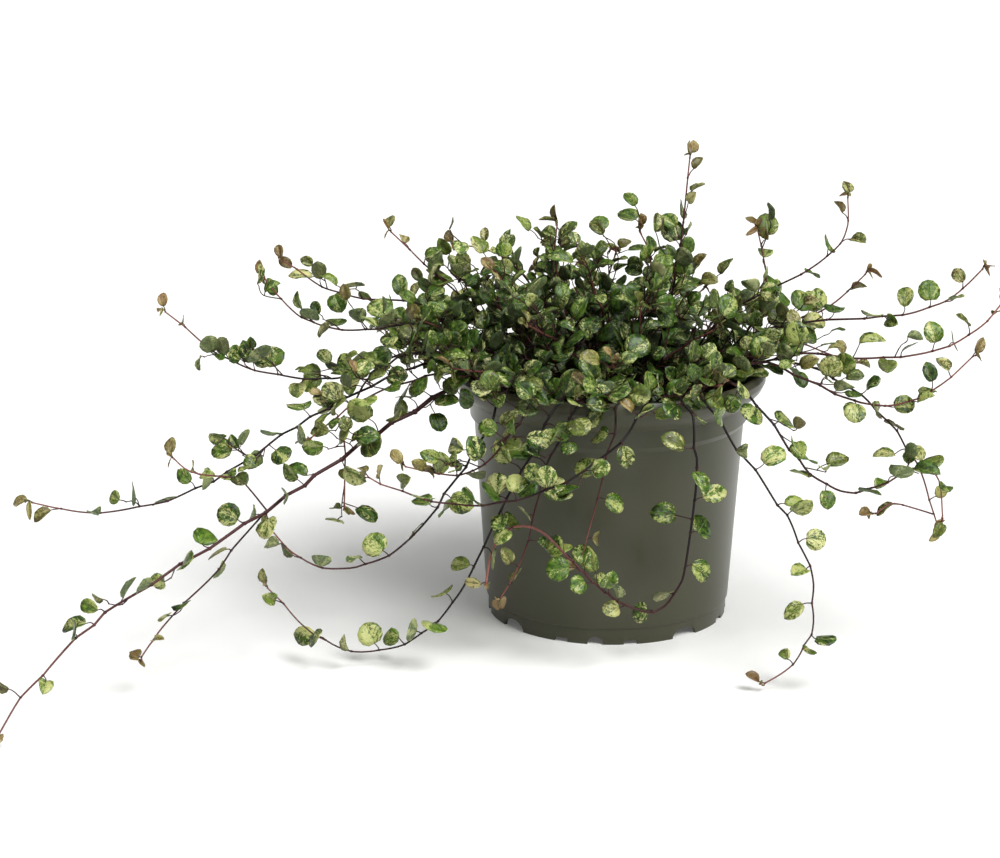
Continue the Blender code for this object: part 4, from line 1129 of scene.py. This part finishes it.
# Stems that differ: their radii at the root and the tip, how long a part is red, and how red it is
STOUT_STEMS = {
    "vine_left_runner": (1.45 * MM, 0.42 * MM, 430 * MM, 0.68),
    "vine_front_drop": (0.76 * MM, 0.58 * MM, 160 * MM, 1.0),
    "vine_right_high": (0.78 * MM, 0.4 * MM, 130 * MM, 0.85),
    "vine_right_long": (0.78 * MM, 0.42 * MM, 175 * MM, 0.92),
    "vine_right_swing": (0.78 * MM, 0.4 * MM, 175 * MM, 0.88),
    "vine_right_hook": (0.78 * MM, 0.4 * MM, 130 * MM, 0.85),
}


def leaf_guard_points():
    """Points spread over a leaf's blade, used to keep it off its neighbours."""
    petiole, blade_start, tip = LEAF_ROWS[1][0], LEAF_ROWS[2][0], LEAF_ROWS[-1][0]
    guards = [(0.5 * petiole, 0, 0)]
    for place in np.linspace(blade_start, tip, 6):
        half_width = np.interp(place, *zip(*LEAF_ROWS))
        height = -LEAF_ARCH * (place - petiole) ** 2
        for share in np.linspace(-1, 1, 5):
            guards.append((place, share * half_width, height))
    return np.array(guards) * MM


def leaf_pose(base, along, side, size, lean, show=0.5, rise=0.25):
    """The matrix that puts a leaf on a stem, to one side, with its face up and outward."""
    up = Vector((0, 0, 1))
    outward = Vector((base.x, base.y, 0)).normalized()
    across = along.cross(up)
    if across.length < UPRIGHT:
        across = outward.cross(up) + UPRIGHT * outward
    across = Matrix.Rotation(lean, 3, along) @ across.normalized()
    point = (LEAF_FORWARD * along + side * across + rise * up).normalized()
    face = LIGHT + show * outward
    face = (face - face.project(point)).normalized()
    turn = Matrix((point, face.cross(point), face)).transposed().to_4x4()
    return Matrix.Translation(base) @ turn @ Matrix.Diagonal((size, size, 1, 1))


def leaf_stops(line, first):
    """How far along a stem its leaves are, from the tip back, closer together in the crown."""
    stops = [line_lengths(line)[-1] - TIP_LEAF_BACK]
    while stops[-1] > first:
        offset = points_at(line, [stops[-1]])[0] - np.array(CROWN_CENTRE)
        depth = np.linalg.norm(offset / np.array(CROWN_REACH))
        stops.append(stops[-1] - (CROWN_LEAF_STEP if depth < CROWN_DEPTH else TRAIL_LEAF_STEP))
    return stops[:-1]


def stem_guard_points(lines):
    """Points close together along every stem, and the number of the stem that each is on."""
    points = []
    owners = []
    for number, line, _ in lines:
        length = line_lengths(line)[-1]
        stops = np.linspace(0, length, int(length / GUARD_STEP) + 2)
        points.append(points_at(line, stops))
        owners.append(np.full(len(stops), number))
    return np.vstack(points), np.concatenate(owners)


def clears(placed, others, clearance):
    """Whether a leaf's guard points keep that clearance to the other points near it."""
    near = others[np.linalg.norm(others - placed.mean(axis=0), axis=1) < NEIGHBOUR_REACH]
    return not len(near) or np.linalg.norm(placed[:, None] - near, axis=2).min() > clearance


def leaf_fits(placed, other_stems, other_leaves):
    """Whether a leaf clears the other stems, the leaves placed before it, the pot and the floor."""
    return (
        clears(placed, other_stems, LEAF_STEM_CLEARANCE)
        and clears(placed, other_leaves, LEAF_LEAF_CLEARANCE)
        and pot_distance(placed)[0].min() > LEAF_POT_CLEARANCE
        and placed[:, 2].min() > LEAF_FLOOR_CLEARANCE
    )


def leaf_poses(lines, guards):
    """The leaves of every stem. A leaf with no room tries its other side and other angles."""
    rng = np.random.default_rng(SEED + 2)
    stem_guards, stem_owner = stem_guard_points(lines)
    leaf_guards = np.empty((0, 3))
    poses = []
    for index, (number, line, fork) in enumerate(lines):
        other_stems = stem_guards[stem_owner != number]
        length = line_lengths(line)[-1]
        first = FIRST_FORK_LEAF if fork else FIRST_LEAF
        for order, stop in enumerate(leaf_stops(line, first)):
            base, along = place_on_line(line, stop)
            young = max(0, 1 - (length - stop) / YOUNG_LENGTH)
            size = (1 - YOUNG_SHRINK * young) * rng.uniform(*LEAF_SIZES)
            for attempt in range(LEAF_TRIES):
                side = (-1) ** (order + attempt) if order + attempt else TIP_LEAF_SIDE
                lean = rng.uniform(-LEAF_LEAN, LEAF_LEAN) * (1 + LEAN_A_TRY * attempt)
                pose = leaf_pose(base, along, side, size * (1 - SHRINK_A_TRY * attempt), lean)
                placed = guards @ np.array(pose.to_3x3()).T + np.array(pose.translation)
                if leaf_fits(placed, other_stems, leaf_guards):
                    leaf_guards = np.vstack([leaf_guards, placed])
                    poses.append((index, pose, stop, young))
                    break
    return poses


def fine_stem(line, joints):
    """A stem's close points, bent aside at its joints, how far along they are, and its joint marks."""
    smooth = smooth_points([Vector(point) for point in line], STEM_DETAIL)
    length = line_lengths(smooth)[-1]
    joints = np.sort(np.array(joints)) * length
    stops = np.concatenate([
        np.arange(0, length, STEM_DETAIL), [length], joints, joints - JOINT_SPACING,
        joints + JOINT_SPACING])
    stops = np.unique(np.clip(stops, 0, length).round(5))
    places = points_at(smooth, stops)
    swells = np.zeros(len(stops))
    knots = [0.0]
    kinks = [0.0]
    for order, joint in enumerate(joints[joints > HOLE_DEPTH + NECK_HEIGHT]):
        knots.append(joint)
        kinks.append((-1) ** order * JOINT_KINK)
        swells = np.maximum(swells, np.abs(stops - joint) < 0.2 * MM)
    kink = np.interp(stops, knots, kinks)
    for row, stop in enumerate(stops):
        along = place_on_line(smooth, stop)[1]
        aside = along.cross(Vector((0, 0, 1)))
        if aside.length > 0.2:
            places[row] += kink[row] * np.array(aside.normalized())
    return places, stops, swells


def at_share(stem, share):
    """The point of a fine stem at a share of its length, and its direction there."""
    places, stops, _ = stem
    place = [np.interp(share * stops[-1], stops, places[:, axis]) for axis in range(3)]
    row = min(np.searchsorted(stops, share * stops[-1]), len(stops) - 1)
    return Vector(place), Vector(places[row] - places[max(row - 2, 0)]).normalized()


def crown_depth(place):
    """How far out a place is from the middle of the crown: less than one is inside its dome."""
    return Vector([a / b for a, b in zip(place - CROWN_CENTRE, CROWN_REACH)]).length


def blade_points(blade):
    """The base, tip, sides and middle of a leaf's blade."""
    half = LEAF_LENGTH / 2
    spots = ((0, 0), (2 * half, 0), (half, half), (half, -half), (half, 0))
    return np.array([blade @ Vector((x, y, 0)) for x, y in spots])


def leaf_show(base):
    """How much a leaf faces outward: low leaves hang and show, and those on the right lie flat."""
    share = FLAT_SHARE if base.x > FLAT_START else 1
    return float(np.interp(base.z, SHOW_HEIGHTS, LEAF_SHOWS)) * rng.uniform(*SHOW_SPREAD) * share


def leaf_steps(name, base, back):
    """How close together a stem's extra leaves are, at a place and a distance back from its tip."""
    if name == "vine_front_drop" and back < LOOP_LENGTH + LOOP_CLUSTER:
        return LOOP_BARE_STEP if back < LOOP_LENGTH else LOOP_LEAF_STEP
    if name.startswith("vine_front"):
        return FRONT_LEAF_STEP
    return FAR_LEAF_STEP if crown_depth(base) > FAR_DEPTH else VINE_LEAF_STEP


def hang_blade(pose, reach):
    """A blade at the end of its stalk, tipped and turned there, clear of the pot and the floor."""
    for tries in range(HANG_TRIES):
        ease = 1 - tries / HANG_TRIES
        roll = Matrix.Rotation(rng.normal(0, ease * LOOSE_ROLL), 4, "X")
        pitch = Matrix.Rotation(rng.normal(0, ease * LOOSE_PITCH), 4, "Y")
        yaw = Matrix.Rotation(rng.normal(0, ease * LOOSE_YAW), 4, "Z")
        blade = pose @ Matrix.Translation((reach, 0, 0)) @ yaw @ pitch @ roll
        points = blade_points(blade)
        if pot_distance(points)[0].min() > LEAF_POT_CLEARANCE and points[:, 2].min() > LEAF_LOWEST:
            return blade
    return None


def add_leaf(number, pose, reach, young):
    """Hang a leaf on a stem, at the end of a bowed stalk, if there is room for it."""
    blade = hang_blade(pose, reach)
    if blade is None:
        return
    base = pose.translation
    end = blade @ Vector((STALK_OVERLAP, 0, 0))
    bow = Vector(rng.normal(0, 1, 3)) + STALK_LIFT
    middle = 0.5 * (base + end) + STALK_BOW * (end - base).length * bow.normalized()
    stalk = smooth_points([base, middle, end], STALK_STEP)
    leaves.append((number, blade, young))
    stalks.append((number, stalk, young))
    centres.append(blade_points(blade)[-1])


routes = all_routes()
names = list(routes)
roots = root_places(routes)
mains = spread_stems([stem_points(root, routes[name][0]) for name, root in zip(names, roots)])
lines = [(number, simplify(main, STEM_TOLERANCE), 0) for number, main in enumerate(mains)]
for number, name in enumerate(names):
    for route in routes[name][1:]:
        lines.append((number, simplify(fork_points(route, mains[number]), STEM_TOLERANCE), 1))
rng = np.random.default_rng(LOOKS_SEED)

# The leaves of the solids, and more between them
vine_leaves = [
    (index, pose @ Matrix.Diagonal((SOLID_LEAF_GROWTH, SOLID_LEAF_GROWTH, 1, 1)), SOLID_STALK,
     stop / line_lengths(lines[index][1])[-1], young)
    for index, pose, stop, young in leaf_poses(lines, leaf_guard_points())
]
for index, (number, line, fork) in enumerate(lines):
    length = line_lengths(line)[-1]
    taken = [share * length for owner, _, _, share, _ in vine_leaves if owner == index]
    stop = FIRST_FORK_LEAF if fork else FIRST_LEAF
    side = 1
    while stop < length - BARE_END:
        base, along = place_on_line(line, stop)
        step = leaf_steps(names[number], base, length - stop)
        if all(abs(stop - other) > LEAF_ROOM * step[0] * MM for other in taken):
            young = max(0, 1 - (length - stop) / YOUNG_LENGTH)
            size = (1 - YOUNG_SHRINK * young) * rng.uniform(*VINE_LEAF_SIZES)
            lean = rng.uniform(-VINE_LEAF_LEAN, VINE_LEAF_LEAN)
            pose = leaf_pose(base, along, side, size, lean, leaf_show(base), LEAF_RISE)
            taken.append(stop)
            side = -side
            reach = rng.uniform(*STALK_LENGTHS) * MM
            vine_leaves.append((index, pose, reach, stop / length, young))
        stop += rng.uniform(*step) * MM
    for side in (-1, 1):
        base, along = place_on_line(line, length)
        size = rng.uniform(*TIP_BUD_SIZES)
        pose = leaf_pose(base, along + BUD_FORWARD * along, side, size, 0.5 * side)
        vine_leaves.append((index, pose, BUD_STALK, 1, 1))
stems = [
    fine_stem(line, [share for owner, _, _, share, _ in vine_leaves if owner == index])
    for index, (_, line, _) in enumerate(lines)
]
leaves = []
stalks = []
centres = []
for index, pose, reach, share, young in vine_leaves:
    pose.translation = at_share(stems[index], share)[0]
    add_leaf(lines[index][0], pose, reach, young)

# Side twigs, thick in the crown and thinning out along its shoulders, and spurs on the vines
twigs = []
for index, (number, line, fork) in enumerate(lines):
    length = stems[index][1][-1]
    stop = FIRST_LEAF
    while stop < length:
        base, along = at_share(stems[index], stop / length)
        stop += rng.uniform(*TWIG_STEP) * MM
        depth = crown_depth(base)
        front = names[number].startswith("vine_front")
        shoulder = SHOULDERS[0] if base.x < 0 else SHOULDERS[1]
        if front:
            left_shoulder = base.x < FRONT_SHOULDER_SIDE and base.z > FRONT_FOOT
            shoulder = FRONT_SHOULDERS[0] if left_shoulder else FRONT_SHOULDERS[1]
        chance = (shoulder - depth) / (shoulder - 1)
        spur = rng.random() > chance
        if spur and (front or rng.random() > SPUR_CHANCE or stop > length - BARE_TIP):
            continue
        if base.z < SOIL_HEIGHT - TWIG_FOOT and depth < 1:
            continue
        outward = Vector([a / b ** 2 for a, b in zip(base - CROWN_CENTRE, CROWN_REACH)]).normalized()
        wander = Vector(rng.normal(size=3)).normalized()
        way = (outward + TWIG_WANDER * wander + TWIG_FORWARD * along + TWIG_RISE).normalized()
        reach = rng.uniform(*(SPUR_LENGTHS if spur else TWIG_LENGTHS)) * MM
        bend = Vector(rng.normal(size=3)) * TWIG_BEND * reach
        end = base + way * reach
        if crown_depth(end) > max(TWIG_DEPTH, depth + TWIG_OUTREACH):
            continue
        twig = smooth_points([base, base + 0.5 * way * reach + bend, end], TWIG_DETAIL)
        if pot_distance(twig)[0].min() < TWIG_POT_CLEARANCE or twig[:, 2].min() < TWIG_LOWEST:
            continue
        twigs.append((number, twig))
        twig_length = line_lengths(twig)[-1]
        backs = np.arange(TWIG_TIP_BACK, twig_length - TWIG_BARE_FOOT, TWIG_LEAF_STEP)
        for order, back in enumerate(backs):
            leaf_base, leaf_along = place_on_line(twig, twig_length - back)
            size = rng.uniform(*TWIG_LEAF_SIZES) * (1 if order else TWIG_TIP_SHARE)
            side = (-1) ** order if order else TIP_LEAF_SIDE
            lean = rng.uniform(-TWIG_LEAF_LEAN, TWIG_LEAF_LEAN)
            pose = leaf_pose(leaf_base, leaf_along, side, size, lean, leaf_show(leaf_base))
            stalk = rng.uniform(*STALK_LENGTHS) * MM
            centre = np.array(pose @ Vector((stalk + LEAF_LENGTH / 2, 0, 0)))
            gaps = np.linalg.norm(np.array(centres) - centre, axis=1)
            if gaps.min() > LEAF_CENTRES_APART:
                new = order == 0 and rng.random() < YOUNG_TWIGS
                young = rng.uniform(*TWIG_YOUTHS) if new else 0.0
                add_leaf(number, pose, stalk, young)


def add_shoots(name, shoots):
    """One mesh of tapered round shoots. Each is its points, radii, youths and joint marks."""
    curve = bpy.data.curves.new(name, "CURVE")
    curve.dimensions = "3D"
    curve.bevel_depth = 1
    curve.bevel_resolution = 1
    curve.use_fill_caps = True
    marks = []
    tree = KDTree(sum(len(points) for points, *_ in shoots))
    for points, radii, youths, swells in shoots:
        spline = curve.splines.new("POLY")
        spline.points.add(len(points) - 1)
        for knot, place, radius, youth, swell in zip(spline.points, points, radii, youths, swells):
            knot.co = (*place, 1)
            knot.radius = radius
            tree.insert(place, len(marks))
            marks.append((swell, youth, 0, 1))
    tree.balance()
    thing = bpy.data.objects.new(name, curve)
    bpy.context.collection.objects.link(thing)
    select_only(thing)
    bpy.ops.object.convert(target="MESH")
    thing = name_active(name, *plant_finishes)
    for layer in list(thing.data.uv_layers):
        thing.data.uv_layers.remove(layer)
    thing.data.uv_layers.new(name="leaf_plan")
    growth = thing.data.attributes.new("growth", "FLOAT_COLOR", "POINT")
    values = [marks[tree.find(point.co)[1]] for point in thing.data.vertices]
    growth.data.foreach_set("color", np.array(values, np.float32).ravel())
    thing.data.shade_smooth()
    return thing


def shoot_of(index):
    """The main shoot or fork of a line: its points, radii, youths and joint marks."""
    number, _, fork = lines[index]
    places, stops, swells = stems[index]
    plain = (OLD_RADIUS, YOUNG_RADIUS, RED_LENGTH, REDNESS)
    old, young, red, redness = STOUT_STEMS.get(names[number], plain)
    if fork:
        old, young, red, redness = FORK_SHARE * OLD_RADIUS, YOUNG_RADIUS, RED_LENGTH, REDNESS
    radii = old + (young - old) * (stops / stops[-1]) ** TAPER
    youths = redness * np.clip(1 - (stops[-1] - stops) / red, 0, 1)
    return places, radii * (1 + JOINT_SWELL * swells), youths, swells


for number, name in enumerate(names):
    shoots = [shoot_of(index) for index, line in enumerate(lines) if line[0] == number]
    for thin_shoots, radius, youth in (
            (twigs, TWIG_RADIUS, TWIG_REDNESS), (stalks, STALK_RADIUS, STALK_REDNESS)):
        for owner, points, *_ in thin_shoots:
            if owner == number:
                count = len(points)
                shoots.append((
                    points, np.linspace(THIN_SHOOT_FOOT, 1, count) * radius,
                    np.linspace(THIN_SHOOT_REDNESS, youth, count), np.zeros(count)))
    stem = add_shoots(f"{name}_growth", shoots)
    copies = []
    for owner, blade, young in leaves:
        if owner != number:
            continue
        folded = young > FOLDED_YOUTH
        shape = rng.choice(FOLDED_SHAPES) if folded else rng.integers(len(leaf_shapes))
        copy = copy_to(leaf_shapes[shape], blade)
        depth = crown_depth(blade.translation)
        cream = np.interp(depth, CREAM_DEPTHS, CREAM_SHARES) * rng.beta(CREAM_FOCUS, CREAM_FOCUS)
        flush = FLUSH * rng.uniform() * min(depth, 1)
        # Painted shade: leaves deep in the crown get a darker green, and less copper, from this depth
        # factor
        painted_crown_light = np.interp(depth, PAINTED_SHADE_DEPTHS, PAINTED_SHADE_TONES)
        youth = max(young * rng.uniform(*YOUTH_SPREAD) * painted_crown_light, flush)
        mark = (cream, youth, rng.uniform(), painted_crown_light * rng.uniform() ** TONE_FALL)
        copy.data.attributes["growth"].data.foreach_set(
            "color", np.tile(np.array(mark, np.float32), len(copy.data.vertices)))
        copies.append(copy)
    join_into(stem, copies)
    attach(stem, "root")
    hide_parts(name)
for shape in leaf_shapes:
    bpy.data.objects.remove(shape)
